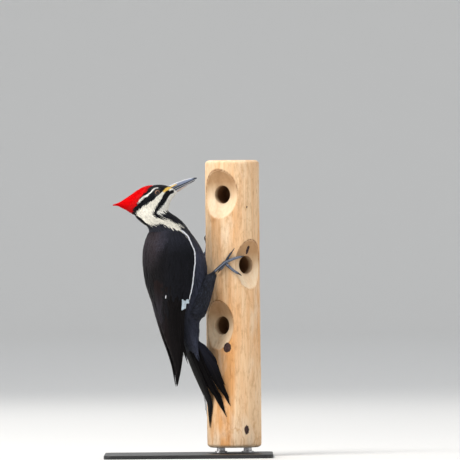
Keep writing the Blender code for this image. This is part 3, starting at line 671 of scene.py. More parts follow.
# Edges: the throat's lower one from behind forward, and the nape's and the red's from below upward.
THROAT_LOW = [
    (3.1, 347.6), (7, 345.8), (10.9, 344.9), (14.5, 348.2), (17.9, 351.4), (21.4, 352.8),
]
NAPE_EDGE = [
    (-3.7, 328), (-7.2, 330.6), (-11.6, 335), (-15.1, 338.6), (-20.3, 343.2), (-25.7, 347.7), (-27.5, 350),
]
RED_EDGE = [
    (-30.1, 345.8), (-28.1, 352.9), (-24.9, 358.3), (-22, 363.2), (-19.1, 368.2), (-14.5, 374.1),
    (-9.7, 378.3), (-6.5, 383.7), (-1.9, 387.2), (1.6, 390),
]


def light_of(*levels):
    """Linear light from three display levels out of 255."""
    share = np.array(levels) / 255
    return np.where(share <= 0.04045, share / 12.92, ((share + 0.055) / 1.055) ** 2.4)


SLATE, JET, CROWN_BLACK = light_of(27, 28, 34), light_of(17, 17, 22), light_of(33, 31, 36)
WHITE, CREAM, YELLOW = light_of(248, 246, 238), light_of(246, 234, 200), light_of(250, 208, 100)
SCARLET, DEEP_RED = light_of(238, 8, 14), light_of(150, 4, 8)
FRINGE_BLUE = light_of(84, 92, 114)


def stripe(rows, x, z):
    """How far inside a stripe each point is: the curve's half width less the distance to it, at its best."""
    line = between(rows, np.linspace(0, len(rows) - 1, 10 * len(rows)))
    return np.max(line[:, 2] - np.hypot(x[..., None] - line[:, 0], z[..., None] - line[:, 1]), axis=-1)


def behind(edge, x, z):
    """How far behind an edge each point is."""
    across, up = np.transpose(edge)[:2]
    return np.interp(z, up, across) - x


def blend(colour, cover, share):
    """A colour mixed with another by each point's share of that one."""
    share = np.asarray(share)[..., None]
    return colour * (1 - share) + cover * share


def lay_over(colour, cover, inside, soft):
    """A colour laid over another where inside is above zero, with an edge this soft."""
    return blend(colour, cover, unit(inside / soft + 0.5))


def plumage(x, z, soft=0.5):
    """Colour of the plumage at a place in the bird's side view."""
    low, head = unit((320 - z) / 60)[..., None], unit((z - 352) / 12)
    # painted light: high lightens the slate in a band round the body at the shoulders, as if lit from above
    high = (unit((z - 255) / 50) * unit((342 - z) / 16))[..., None]
    front = unit((x - 40) / 25)[..., None] * unit((320 - z) / 30)[..., None]
    colour = SLATE * (1 + 0.9 * low + 1.5 * high) * (1 + np.array((0.7, 0.78, 1.1)) * front)
    throat = np.minimum(z - np.interp(x, *np.transpose(THROAT_LOW)), -behind(MOUSTACHE[7:0:-1], x, z))
    crown = np.minimum(z - np.interp(x, [-25, -3, 2, 7, 22], [366, 379, 384, 384, 384.5]), x + 12)
    colour = lay_over(blend(colour, JET, head), CROWN_BLACK, crown, 2)
    colour = lay_over(colour, WHITE, throat, soft)
    for rows in (CHEEK, CHEEK_BACK, NECK_STRIPE, NECK_WISP):
        colour = lay_over(colour, CREAM * 0.25 + WHITE * 0.75, stripe(rows, x, z), soft)
    colour = lay_over(colour, JET, behind(NAPE_EDGE, x, z), soft)
    colour = lay_over(colour, WHITE, stripe(BROW, x, z), soft)
    colour = lay_over(colour, JET, stripe(MOUSTACHE, x, z), soft)
    colour = lay_over(colour, YELLOW, stripe(LORES, x, z), 1.2)
    # painted shade: the red darkens to deep red low on the crest and towards its tip
    shade = unit((366 - z - 0.25 * (x + 58)) / 14)[..., None]
    red = SCARLET * (1 - 0.65 * shade) + DEEP_RED * 0.65 * shade
    return np.where((z > 341)[..., None], lay_over(colour, red, behind(RED_EDGE, x, z), soft), colour)


def own_side_view(points):
    """The side view of any world points, those of the left side mirrored to the right: how far towards the
    bill, and height. The body is turned 30 degrees, the head 8, and the neck between."""
    turn = np.radians(np.interp(points[:, 2], [330, 338, 345, 352], [30, 23, 14, 8]))
    dx, dy = points[:, 0] - NAPE_X, points[:, 1] - NAPE_Y
    ahead = dx * np.cos(turn) + dy * np.sin(turn)
    right = dx * np.sin(turn) - dy * np.cos(turn)
    return ahead * np.cos(turn) + np.abs(right) * np.sin(turn), points[:, 2]


def paint_colour(mesh, colours):
    """The tint of each point of the mesh, for its material to read."""
    full = np.column_stack([colours, np.ones(len(colours))]).astype(np.float32)
    mesh.attributes.new("tint", "FLOAT_COLOR", "POINT").data.foreach_set("color", full.ravel())


# ------------------------------------------------------------------
# Skin: one closed surface for trunk, neck, head, crest and both thighs, joined so that no seam shows.
# It lies a coat's depth inside the outer form and is nearly all hidden by the feathers.
# Lid: distance from the eye's line, and out from the head's middle; it laps the ball and dies into the head.
LID = [
    (3.8, 15.35), (3.84, 15.75), (4.05, 15.95), (4.4, 15.85), (4.9, 15.4), (5.6, 14.9), (6.6, 14.2),
    (7.8, 13), (7, 11), (5.6, 11.5), (5.25, 13.6), (4.6, 14.6),
]
LID_AROUND, SKIN_AROUND, FORM_AROUND = 72, 190, 48


def about_eye(sign, outline, around):
    """Rings about the line through the pupils: each (distance, out) of the outline, all the way round."""
    (distance, out), angle = np.transpose(outline)[:, :, None], full_turn(around)
    z = EYE_Z + distance * np.sin(angle)
    return place(EYE_AHEAD + distance * np.cos(angle), sign * out + 0 * angle, z, HEAD_TURN)


def make_lid(sign):
    """A lid: a closed ring of its outline, carried round the eye."""
    rings = about_eye(sign, LID, LID_AROUND)
    ring = np.arange(len(LID) * LID_AROUND).reshape(len(LID), LID_AROUND)
    right, down = np.roll(ring, -1, axis=1), np.roll(ring, -1, axis=0)
    faces = np.stack([ring, down, np.roll(right, -1, axis=0), right], axis=-1).reshape(-1, 4)
    return build_mesh("lid", rings.reshape(-1, 3), faces, flip=sign > 0)


def make_forms():
    """The body's run of ovals at the coat's depth, and the thighs, the crest and the lids to join to it."""
    stations = spaced_rows(body_point, 0, len(BODY) - 1, lambda at: SKIN_SPACING * coat(at, 2))
    forms = [("skin", loft_grid(body_point, stations, SKIN_AROUND, -coat(stations, 1)))]
    steps = np.linspace(0, len(THIGH) - 1, 60)
    for sign in SIDES.values():
        forms.append(("thigh_form", loft_grid(thigh_point(sign), steps, FORM_AROUND, np.full(60, -2))))
    steps = np.linspace(0.4, len(CREST) - 1, 70)
    rows = between(CREST, steps)
    inside = -0.42 * np.minimum(rows[:, 4], np.hypot(rows[:, 0] - rows[:, 2], rows[:, 1] - rows[:, 3]) / 2)
    forms.append(("crest_form", loft_grid(crest_point, steps, FORM_AROUND, inside)))
    return [ring_solid(*form) for form in forms] + [make_lid(sign) for sign in SIDES.values()]


def new_effect(name, inputs, outputs):
    """A node group with float, vector or colour sockets; what it is given, and the node for its results."""
    group = bpy.data.node_groups.new(name, "ShaderNodeTree")
    for way, sockets in (("INPUT", inputs), ("OUTPUT", outputs)):
        for label, kind in sockets.items():
            group.interface.new_socket(name=label, in_out=way, socket_type="NodeSocket" + kind)
    return group, group.nodes.new("NodeGroupInput").outputs, group.nodes.new("NodeGroupOutput")


def shaded(colour, strength):
    """A colour times a strength."""
    inputs = {0: colour, "Scale": strength}
    return add_node(colour.id_data, "VectorMath", inputs, operation="SCALE").outputs["Vector"]


def make_mottled_tint():
    """Effect for skin, feathers, horn and scales: the tint painted on the mesh, darkened and brightened by
    a cloudy noise, with a roughness that follows the same noise."""
    numbers = dict.fromkeys(("Dark", "Bright", "Smooth", "Rough"), "Float")
    inputs = {"Scale": "Float", "Stretch": "Vector", **numbers}
    outputs = {"Colour": "Color", "Roughness": "Float", "Cloud": "Float"}
    group, given, result = new_effect("mottled_tint", inputs, outputs)
    where = {0: add_node(group, "TexCoord", {}).outputs["Object"], 1: given["Stretch"]}
    stretched = add_node(group, "VectorMath", where, operation="MULTIPLY").outputs["Vector"]
    inputs = {"Vector": stretched, "Scale": given["Scale"], "Detail": 4}
    cloud = add_node(group, "TexNoise", inputs).outputs["Fac"]
    tint = add_node(group, "Attribute", {}, attribute_name="tint").outputs["Color"]
    feed(result, {"Colour": shaded(tint, carry(cloud, given["Dark"], given["Bright"], 0.3, 0.7)),
                  "Roughness": carry(cloud, given["Smooth"], given["Rough"]), "Cloud": cloud})
    return group


def tinted_material(name, scale, dark, bright, smooth, rough, stretch=(1, 1, 1)):
    """A material of the mesh's tint, mottled; its shader; and the mottling's outputs."""
    made, tree, shader = new_material(name)
    values = zip(("Scale", "Dark", "Bright", "Smooth", "Rough"), (scale, dark, bright, smooth, rough))
    effect = add_node(tree, "Group", {"Stretch": stretch, **dict(values)}, node_tree=mottled_tint).outputs
    feed(shader, {"Base Color": effect["Colour"], "Roughness": effect["Roughness"]})
    return made, shader, effect


# Thin skin under the feathers, in the plumage's own colours, with a fine crepe of pores.
mottled_tint = make_mottled_tint()
skin_material, skin_shader, _ = tinted_material("skin", 240, 0.45, 0.75, 0.6, 0.8)
bump(skin_shader, noise(skin_material.node_tree, 1500, 2), 0.0001)
body_form, *other_forms = make_forms()
skin = show(body_form, skin_material, "black_plumage", "trunk", "neck", "head", "crest", "thigh_right",
            "thigh_left")
combine(skin, "UNION", other_forms)
paint_colour(skin.data, plumage(*own_side_view(point_array(skin.data))))


# ------------------------------------------------------------------
# Coat: each feather is a thin closed vane, widest past its middle, that leaves the skin at its root
# and comes up to the outer form at its tip. Rows overlap like slates from the bill to the tail.
# Steps along a vane and its half width at each: a firm feather, and a silky one.
VANE_STEPS = np.array([0.05, 0.25, 0.48, 0.7, 0.87, 0.965])
VANE_HALF = np.array([0.2, 0.6, 0.94, 0.95, 0.66, 0.3])
SILKY_HALF = np.array([0.3, 0.75, 0.95, 0.8, 0.5, 0.2])
VANE_RISE = 1.6
PATCH = 0.003  # how wide each feather's part of the baking map is
BARB_SLANT = 0.9
RUN_STEPS = 200  # on a line round the body, to measure its length


def vane_faces(rows, ring):
    """Faces of one vane: quads round it, and fans to a point at the root and one at the tip."""
    index = np.arange(rows * ring).reshape(rows, ring)
    ahead = np.roll(index, -1, axis=1)
    quads = np.stack([index[:-1], index[1:], ahead[1:], ahead[:-1]], axis=-1).reshape(-1, 4)
    root, tip = np.full(ring, rows * ring), np.full(ring, rows * ring + 1)
    fans = np.stack([root, index[0], ahead[0]], axis=-1), np.stack([tip, ahead[-1], index[-1]], axis=-1)
    return quads, np.concatenate(fans)


def many(faces, count, size):
    """The faces of one part of this many points, again for each of count such parts."""
    return (faces + (np.arange(count) * size)[:, None, None]).reshape(-1, faces.shape[1])


def add_maps(mesh, side, down, *bake):
    """UV maps from numbers for each point: OFBake, where given, and barbs, which slant back from the shaft,
    from its millimetres to the side and down the feather."""
    corner = np.empty(len(mesh.loops), np.int32)
    mesh.loops.foreach_get("vertex_index", corner)
    for name, pair in (("OFBake", bake), ("barbs", (side, down + BARB_SLANT * np.abs(side)))):
        if pair:
            spots = np.stack([np.ravel(part) for part in pair], axis=-1)[corner]
            mesh.uv_layers.new(name=name).data.foreach_set("uv", spots.astype(np.float32).ravel())


def pace(surface, station, angle):
    """Millimetres per station and per radian at places on a surface."""
    step, flat = 0.02, np.zeros_like(station)
    along = surface(station + step, angle, flat) - surface(station - step, angle, flat)
    round_it = surface(station, angle + step, flat) - surface(station, angle - step, flat)
    return length_of(along) / (2 * step), length_of(round_it) / (2 * step)


def grow_vanes(name, slot, material, surface, root, size, heights, tint, bake, steps=VANE_STEPS,
               half=VANE_HALF, across=3, camber=0.18, thick=0.16, sway=0, ragged=0.3, flip=False):
    """A piece of many vanes on a surface.

    root: station, angle, lie (radians off the way to lower stations). size: length, half width.
    heights: root's and tip's height over the surface. A point s along and x across lies
    length * s down the lie and half width * x to its side, at
    root height + (tip - root height) * (1 - (1 - s)**VANE_RISE) - camber * half width * x**2 + thickness.
    ragged is how much each point's x is drawn in or let out by chance.
    """
    given = (np.asarray(part, float)[:, None] for part in (*root, *size, *heights))
    station, angle, lie, length, width, low, high = given
    over, count = np.linspace(-1, 1, across), len(station)
    s = np.append(np.repeat(steps, across + 1), (0, 1))
    x = np.append(np.outer(half, np.append(over, 0)), (0, 0))
    lift = np.append(np.tile(np.append(1 - over**2, -1), len(steps)), (0, 0))
    x = x * np.random.default_rng(count).uniform(1 - ragged, 1 + ragged, (count, len(s)))
    along_pace, round_pace = pace(surface, station[:, 0], angle[:, 0])
    down = length * s
    side = width * x + sway * np.sin(np.arange(count) * 2.4)[:, None] * s**2 * length
    station_at = station - (np.cos(lie) * down - np.sin(lie) * side) / along_pace[:, None]
    angle_at = angle + (np.sin(lie) * down + np.cos(lie) * side) / round_pace[:, None]
    body = unit(np.minimum(s, 1 - s) * 8) * thick
    height = low + (high - low) * (1 - (1 - s) ** VANE_RISE) - camber * width * x**2 + body * lift / 2
    points = surface(station_at, angle_at, height)
    faces = (many(part, count, len(s)) for part in vane_faces(len(steps), across + 1))
    mesh = build_mesh(name, points.reshape(-1, 3), *faces, flip=flip)
    mesh.set_sharp_from_angle(angle=math.radians(70))
    paint_colour(mesh, tint(points, np.broadcast_to(s, x.shape), x, np.arange(count)).reshape(-1, 3))
    add_maps(mesh, side, down, bake[0][:, None] + PATCH * x / 2, bake[1][:, None] + PATCH * (s - 0.5))
    show(mesh, material, slot)


def scattered_roots(surface, rows, spacings, seed, span=(0, 2 * np.pi)):
    """Staggered rows of roots round a surface between two angles: station, angle, spacing. Chance moves
    each a little."""
    chance = np.random.default_rng(seed)
    found, around = [], np.linspace(*span, RUN_STEPS)
    for number, (station, spacing) in enumerate(zip(rows, spacings)):
        run = run_of(surface(np.full(RUN_STEPS, station), around, np.zeros(RUN_STEPS)))
        count = int(run[-1] / (0.92 * spacing))
        at = (np.arange(count) + 0.5 * (number % 2)) * run[-1] / count
        found.append(np.stack([np.full(count, station), np.interp(at, run, around), np.full(count, spacing)]))
    station, angle, spacing = np.concatenate(found, axis=1)
    step = pace(surface, station, angle)
    station = station + chance.uniform(-0.3, 0.3, len(station)) * spacing / step[0]
    angle = angle + chance.uniform(-0.3, 0.3, len(station)) * spacing / step[1]
    return np.array([np.clip(station, rows.min(), rows.max()), angle, spacing])


def make_feather_barbs():
    """Effect for every plumage: a herringbone of barbs on the vanes' own map, as a shade over the colour
    and as a height."""
    outputs = {"Shade": "Float", "Height": "Float"}
    group, given, result = new_effect("feather_barbs", {"Pitch": "Float"}, outputs)
    where = add_node(group, "UVMap", {}, uv_map="barbs").outputs["UV"]
    inputs = {"Vector": where, "Scale": given["Pitch"], "Distortion": 2.5, "Detail": 2}
    wave = add_node(group, "TexWave", inputs, bands_direction="Y").outputs["Fac"]
    feed(result, {"Shade": carry(wave, 0.85, 1, 0.2, 0.8), "Height": wave})
    return group


def feather_gloss(name, barb_height, rough, sheen, pitch=1.2, shine=0.12):
    """Plumage: the painted tint broken up from barb to barb, a fine herringbone, and a soft sheen."""
    made, shader, effect = tinted_material(name, 420, 0.84, 1.12, rough - 0.08, rough + 0.1)
    barbs = add_node(made.node_tree, "Group", {"Pitch": pitch}, node_tree=feather_barbs).outputs
    feed(shader, {"Base Color": shaded(effect["Colour"], barbs["Shade"]), "Specular IOR Level": shine,
                  "Sheen Weight": sheen, "Sheen Roughness": 0.45, "Sheen Tint": (0.8, 0.88, 1, 1)})
    bump(shader, barbs["Height"], barb_height)
    return made


def coat_tint(seed, edge, stray):
    """Colours for a coat: the markings at each feather's outer half, moved a little by chance, darker towards
    its root with painted shade, its own small difference from its neighbours, and a paler fringe of this
    strength if slaty."""
    def tint(points, s, x, number):
        chance = np.random.default_rng(seed)
        seen = points[:, np.argmin(np.abs(s[0] - 0.75) + np.abs(x[0]))]
        place_x, place_z = own_side_view(seen) + chance.normal(0, stray, (2, len(number)))
        base = plumage(place_x, place_z, 0.6)[:, None]
        slaty = (base.sum(-1, keepdims=True) < 0.25).astype(float)
        own = 1 + chance.normal(0, 0.05 + 0.08 * slaty[:, 0, 0])[:, None, None]
        # painted shade: darker towards each feather's root
        shade = 1 - (0.28 * slaty + 0.1 * (1 - slaty)) * (1 - unit(s / 0.6))[..., None]
        fringe = unit((s - 0.84) / 0.12 + np.abs(x) - 0.72)[..., None] * edge * slaty
        return (base * own * shade) * (1 - fringe) + FRINGE_BLUE * fringe
    return tint


def bake_place(station, angle, low, high):
    """A feather's place on an unwrap of the body: angle across, and station from low to high upwards."""
    return 0.02 + 0.96 * ((angle / (2 * np.pi)) % 1), 0.02 + 0.96 * unit((station - low) / (high - low))


def clear_of_eyes(surface, station, angle, length, most):
    """Which feathers stay this far from the line through the pupils along all their length."""
    share = np.array([[0], [0.5], [1]])
    way = share * length / pace(surface, station, angle)[0]
    return eye_distance(surface(station - way, angle + 0 * share, 0 * way)).min(axis=0) > most


def make_body_coat(name, style, low, high, seed, fringe, stray, spread, wide, loose=0, outline=SILKY_HALF):
    """The feathers between two stations of the body, but for those that would cross an eye. loose is how
    much further chance turns and bends those of the belly."""
    slot, material, thick, uneven = style
    rows = spaced_rows(body_point, low, high, lambda at: coat(at, 2))
    roots = scattered_roots(body_point, rows, coat(rows, 2), seed)
    clear = clear_of_eyes(body_point, *roots[:2], coat(roots[0], 3), LID_OPENING + 0.6)
    station, angle, spacing = roots[:, clear]
    chance = np.random.default_rng(seed + 1)
    count, depth = len(station), coat(station, 1)
    belly = unit(-1.5 * np.cos(angle) + 0.4) * loose
    lie = chance.normal(0, 1, count) * (spread + 0.22 * belly)
    length = coat(station, 3) * chance.uniform(0.85, 1.15, count)
    size = (length, wide * spacing * chance.uniform(0.8, 1.2, count))
    heights = (-depth - 0.05, -0.05 - chance.uniform(0, uneven, count) * depth + 0.5 * belly)
    grow_vanes(name, slot, material, body_point, (station, angle, lie), size, heights,
               coat_tint(seed + 2, fringe, stray), bake_place(station, angle, low, high), half=outline,
               thick=thick, sway=0.16 * loose)


feather_barbs = make_feather_barbs()
body_gloss = feather_gloss("body_plumage", 0.00012, 0.62, 0.05)
face_gloss = feather_gloss("face_plumage", 0.00005, 0.7, 0.02)
coarse, fine = ("black_plumage", body_gloss, 0.16, 0.25), ("face_plumage", face_gloss, 0.1, 0.14)
make_body_coat("coat_rump", coarse, 0, 5, 20, 0.5, 0.5, 0.12, 0.48, 1)
make_body_coat("coat_back", coarse, 5, 9, 30, 0.45, 0.5, 0.12, 0.48, 1)
make_body_coat("coat_shoulder", coarse, 9, 12.6, 40, 0.25, 0.9, 0.12, 0.5, outline=VANE_HALF)
make_body_coat("coat_neck", fine, 12.6, 17, 50, 0.05, 0.8, 0.13, 0.44)
make_body_coat("coat_cheek", fine, 17, 20.5, 60, 0.05, 0.3, 0.1, 0.44)
make_body_coat("coat_face", fine, 20.5, 24, 70, 0.05, 0.25, 0.08, 0.44)


# ------------------------------------------------------------------
# Crest: long soft crown feathers that run back over the nape to a point. They are scarlet behind the
# brow, and shorter where the crest's sides are still black or white.
CREST_TIP = 0.12  # the last station that a feather's tip may reach


def make_crest(name, material, long_ones, spacing, seed):
    """Feathers of the crest, either its long scarlet ones or the short ones at its sides and base."""
    steps = np.linspace(0.55, len(CREST) - 1.05, int(60 / spacing))
    roots = scattered_roots(crest_point, steps, np.full(len(steps), spacing), seed)
    back = behind(RED_EDGE, *own_side_view(crest_point(*roots[:2], 0 * roots[0])))
    chance = np.random.default_rng(seed + 1)
    length = (12.5 + 6 * chance.random(len(back))) if long_ones else np.full(len(back), 6)
    keep = (back > 2.5) if long_ones else (back < 4)
    keep &= clear_of_eyes(crest_point, *roots[:2], length, EYE_RADIUS + 1)
    station, angle, gap, length = np.vstack([roots, length])[:, keep]
    count, depth = len(station), 0.16 * between(CREST[:, 4:5], station)[:, 0]
    length = np.minimum(length, (station - CREST_TIP) * pace(crest_point, station, angle)[0])
    size = (length, 0.46 * gap * chance.uniform(0.8, 1.2, count))
    heights = (-depth, 0.15 - 0.5 * chance.random(count) * depth)
    root = (station, angle, chance.normal(0, 0.07, count))
    bake = bake_place(station, angle, 0, len(CREST) - 1)
    grow_vanes(name, "crest_plumage", material, crest_point, root, size, heights,
               coat_tint(seed + 2, 0, 0.35), bake, half=SILKY_HALF, camber=0.1, thick=0.1)


make_crest("crest_plumes", feather_gloss("crest_plumage", 0.00004, 0.8, 0, shine=0.02), True, 1.05, 80)
make_crest("crest_sides", face_gloss, False, 1.15, 84)


# ------------------------------------------------------------------
# Eyes: glossy balls with a black pupil and a brown iris, set in the head as deep as the real ones and
# ringed by bare dark lids. The tiny feathers round each lie back from the bill and part about it.
BALL_STEPS = np.array([0, 0.5, 1, 1.5, 2, 2.2, 2.3, 2.45, 2.7, 3, 3.3, 3.55, 3.75, 3.9, 4.1, 4.4, 4.7,
                       4.9, 5.02, 5.1])
CORNEA_BULGE, CORNEA_RADIUS = 0.35, 3.6
EYE_FEATHER = 2.4  # the longest
EYE_STATIONS = (19.4, 23.2)

# The ball: rings at fixed distances from its line, from the pupil's middle to the back.
ball_out = np.sqrt(np.maximum(EYE_RADIUS**2 - BALL_STEPS**2, 0))
ball_back = EYE_OUT + ball_out
ball_front = ball_back + CORNEA_BULGE * unit(1 - (BALL_STEPS / CORNEA_RADIUS) ** 2)
ball_outline = np.stack([np.maximum(np.append(BALL_STEPS, BALL_STEPS[-2::-1]), 0.02),
                         np.append(ball_front, 2 * EYE_OUT - ball_back[-2::-1])], axis=1)
# A wet ball: black pupil, a brown iris with darker threads and rim, and black beyond it.
eye_material, eye_tree, eye_shader = new_material("eye")
iris = ramp(carry(painted(eye_tree, "from_pupil"), 0, 1, 0, 5), (0.445, (0.004, 0.003, 0.003)),
            (0.47, (0.12, 0.055, 0.03)), (0.6, (0.24, 0.125, 0.075)), (0.7, (0.17, 0.082, 0.048)),
            (0.76, (0.02, 0.012, 0.01)))
threads = ramp(noise(eye_tree, 2600, 3), (0.35, 0.7), (0.65, (1.25, 1.2, 1.15)))
feed(eye_shader, {"Base Color": mix(1, iris, threads, "MULTIPLY"), "Roughness": 0.06,
                  "Specular IOR Level": 0.25, "Coat Weight": 0.25, "Coat Roughness": 0.02})
for side, sign in SIDES.items():
    mesh = ring_solid("eye_ball_" + side, about_eye(sign, ball_outline, 64)[:, :: -sign])
    paint_values(mesh, from_pupil=eye_distance(point_array(mesh)))
    show(mesh, eye_material, "eye", "eye_" + side)

# Tiny feathers about the eyes: each as long as the way from its root to the lid allows.
rows = np.arange(*EYE_STATIONS, 0.085)
roots = scattered_roots(body_point, rows, np.full(len(rows), 0.8), 90)
share = np.linspace(0, 1, 12)[:, None]
way = share * EYE_FEATHER / pace(body_point, *roots[:2])[0]
near = eye_distance(body_point(roots[0] - way, roots[1] + 0 * share, 0 * way))
clear = np.where((near > LID_OPENING + 0.5).cumprod(axis=0).astype(bool), share, 0).max(axis=0) * EYE_FEATHER
keep = (near[0] > LID_OPENING + 0.45) & (near[0] < 9.5) & (clear > 0.5)
station, angle, length = np.vstack([roots[:2], clear])[:, keep]
chance, count = np.random.default_rng(90), len(length)
heights = (np.full(count, -0.7), -0.1 - 0.15 * chance.random(count))
root = (station, angle, chance.normal(0, 0.1, count))
grow_vanes("coat_eyes", "face_plumage", face_gloss, body_point, root, (length, np.full(count, 0.42)), heights,
           coat_tint(90, 0, 0.15), bake_place(station, angle, *EYE_STATIONS), thick=0.1)


# ------------------------------------------------------------------
# Bill: two horn halves that meet along the gape. The upper has a sharp ridge, a groove from the nostril
# along each side and a chisel tip; the lower is paler. Buff bristles cover the nostrils.
# ridge (ahead, z), cutting edge (ahead, z), half width
BILL_UPPER = np.array([
    (22.4, 386.2, 29.7, 381.6, 5.8), (30, 389.6, 33.5, 383.5, 5.3), (38.3, 392.6, 40.5, 386.6, 4.6),
    (46, 395, 47.5, 389.7, 3.8), (53, 396.9, 54, 392.8, 2.9), (59, 397.9, 59.6, 395.1, 2),
    (62.6, 397.6, 62.7, 396.8, 1.1),
])
BILL_LOWER = np.array([
    (35.3, 377.9, 30.1, 380.9, 5), (38, 379.6, 34, 382.7, 4.7), (43.5, 383.3, 40.8, 385.8, 4),
    (49.5, 387, 47.8, 388.9, 3.1), (55.3, 390.6, 54.2, 391.9, 2.2), (59.8, 393.4, 59.4, 394.1, 1.2),
])
# One side of each half's section, ridge to edge: share of the height, share of the half width.
UPPER_SIDE = [
    (1, 0), (0.985, 0.1), (0.93, 0.34), (0.8, 0.55), (0.72, 0.62), (0.58, 0.72), (0.42, 0.84), (0.22, 0.96),
    (0.08, 1), (0, 0.97),
]
LOWER_SIDE = [
    (1, 0), (0.97, 0.16), (0.86, 0.46), (0.7, 0.7), (0.5, 0.88), (0.28, 0.98), (0.08, 1), (0, 0.95),
]
HORN_BLUE, HORN_DARK = light_of(100, 110, 134), light_of(34, 40, 54)
HORN_PALE, RIDGE_HIGHLIGHT = light_of(190, 190, 198), light_of(190, 194, 200)


def make_bill_half(half, table, outline, groove):
    """Half a bill: at each step from base to tip the outline's share of the way from edge to ridge and its
    share of the half width, both sides and a flat between; a groove of the given depth runs along each.
    Slate blue, with a painted highlight along the ridge and a dark cutting edge above, mauve grey below,
    and a dark tip to both."""
    steps = np.linspace(0, len(table) - 1, 90)
    rows, along = between(table, steps)[:, None], steps[:, None] / (len(table) - 1)
    down, wide = between(outline, np.linspace(0, len(outline) - 1, 44)).T
    under = np.linspace(1, -1, 9)[1:-1]
    share = np.concatenate([down, 0 * under, down[:0:-1]])
    side = np.concatenate([wide, wide[-1] * under, -wide[:0:-1]])
    dent = groove * np.exp(-((share - 0.66) / 0.07) ** 2) * unit(1.4 - 1.6 * along) * unit(6 * along)
    line = rows[..., 2:4] + (rows[..., 0:2] - rows[..., 2:4]) * share[:, None]
    width = rows[..., 4] * side * (1 - dent) * (1 if half == "upper" else -1)
    mesh = ring_solid("bill_horn_" + half, place(line[..., 0], width, line[..., 1], HEAD_TURN))
    along = np.append(np.broadcast_to(along, width.shape), (0, 1))
    share = np.append(np.broadcast_to(share, width.shape), (0.5, 0.5))
    if half == "upper":
        # painted highlight: a pale streak along the upper half's ridge
        colour = lay_over(HORN_BLUE, RIDGE_HIGHLIGHT, share - 0.86, 0.3)
        colour = lay_over(colour, HORN_DARK, 0.3 - share, 0.14)
        colour = lay_over(colour, HORN_DARK, along - 0.76, 0.1)
    else:
        colour = lay_over(HORN_PALE, HORN_DARK, along - 0.72, 0.3)
        colour = lay_over(colour, HORN_DARK, 0.3 - share, 0.2)
    paint_colour(mesh, colour)
    show(mesh, bill_horn, "bill_horn", "bill_" + half)


def half_bill_point(table):
    """The oval round one half of the bill, carried back one step into the head: angle 0 is its ridge."""
    table = np.concatenate([[2 * table[0] - table[1]], table])
    turned = np.column_stack([table, np.full(len(table), HEAD_TURN)])
    return lambda station, angle, height: oval_point(turned, station, angle, height)


def make_bristles(name, table, count, span, reach, half, first, second, seed):
    """Fine forward-lying vanes on both sides of a bill half's base, between two angles from its ridge."""
    chance = np.random.default_rng(seed)
    side = np.where(np.arange(count) % 2 == 0, 1, -1)
    angle, station = side * chance.uniform(*span, count), chance.uniform(0.6, 1.3, count)
    size = (chance.uniform(*reach, count), np.full(count, half))
    own = blend(light_of(*second), light_of(*first), chance.random(count))
    root = (station, angle, math.pi + side * chance.normal(0, 0.08, count))
    heights = (np.full(count, -0.3), chance.uniform(0.1, 0.5, count))
    grow_vanes(name, "face_plumage", face_gloss, half_bill_point(table), root, size, heights,
               # painted shade: each bristle darker towards its root
               lambda points, s, x, number: own[:, None] * (0.8 + 0.2 * s)[..., None],
               (0.5 + 0.45 * angle / np.pi, 0.1 + 0.6 * station), thick=0.1, flip=table[0, 1] < table[0, 3])


# Horn: the painted tint, streaked lengthwise, with fine scratches and a low polish.
bill_horn, horn_shader, streaks = tinted_material("bill_horn", 900, 0.68, 1.16, 0.28, 0.5, (0.25, 1, 0.7))
feed(horn_shader, {"Coat Weight": 0.25, "Coat Roughness": 0.3})
bump(horn_shader, streaks["Cloud"], 0.00006)
make_bill_half("upper", BILL_UPPER, UPPER_SIDE, 0.1)
make_bill_half("lower", BILL_LOWER, LOWER_SIDE, 0)
# Nostril bristles and chin feathers reach forward over the bill's base from behind it.
make_bristles("nostril_bristles", BILL_UPPER, 120, (0.95, 1.35), (3.5, 8), 0.26, (244, 206, 112),
              (228, 206, 168), 170)
make_bristles("chin_bristles", BILL_LOWER, 170, (0, 1.3), (4, 8.5), 0.32, (240, 234, 226),
              (224, 198, 184), 174)


# ------------------------------------------------------------------
# Wings: folded over the back. Each is a dark plate of flesh and quill bases under small, middle and
# great coverts, with the flight feathers stacked below; the mantle covers the gap between the two.
# z, middle (ahead), half depth, half width, angle to the front edge and to the inner edge, thickness
WING = np.array([
    (100, 35.8, 1.7, 2.6, 80, 20, 0.8), (113, 36.1, 4, 7, 90, 10, 1.2), (130, 37.2, 8, 11.5, 90, 8, 1.4),
    (150, 38.1, 15.5, 15.5, 93, 6, 1.6), (170, 39.3, 24.5, 20, 84, 5, 1.8), (190, 40.4, 32, 26, 77, 5, 2),
    (205, 42.1, 37.5, 31, 73, 6, 2.2), (220, 43.2, 42.2, 35.7, 77, 10, 2.4),
    (234, 42.1, 46.2, 39, 83, 15, 2.6), (248, 39.8, 48.4, 41, 90, 20, 2.6),
    (264, 37.2, 49, 41.5, 96, 23, 2.6), (280, 35.5, 48.8, 41.5, 99, 25, 2.6),
    (295, 33, 45.7, 40, 101, 27, 2.6), (309, 29.8, 38.9, 36.6, 99, 31, 2.2),
    (320, 26.3, 32.3, 31.6, 95, 42, 2), (325, 25.2, 29, 28.4, 88, 62, 1.4),
])
SHOULDER = len(WING) - 1
PLATE_ACROSS = 40
COVERTS_LOW, MANTLE_LOW = 9, 7  # the lowest stations with coverts and with the mantle
# Coverts: station, spacing, length.
COVERTS = np.array([
    (9, 5, 27), (9.8, 4.2, 20), (11, 3.3, 15), (12.5, 2.7, 12.5), (15, 2, 9.5),
])
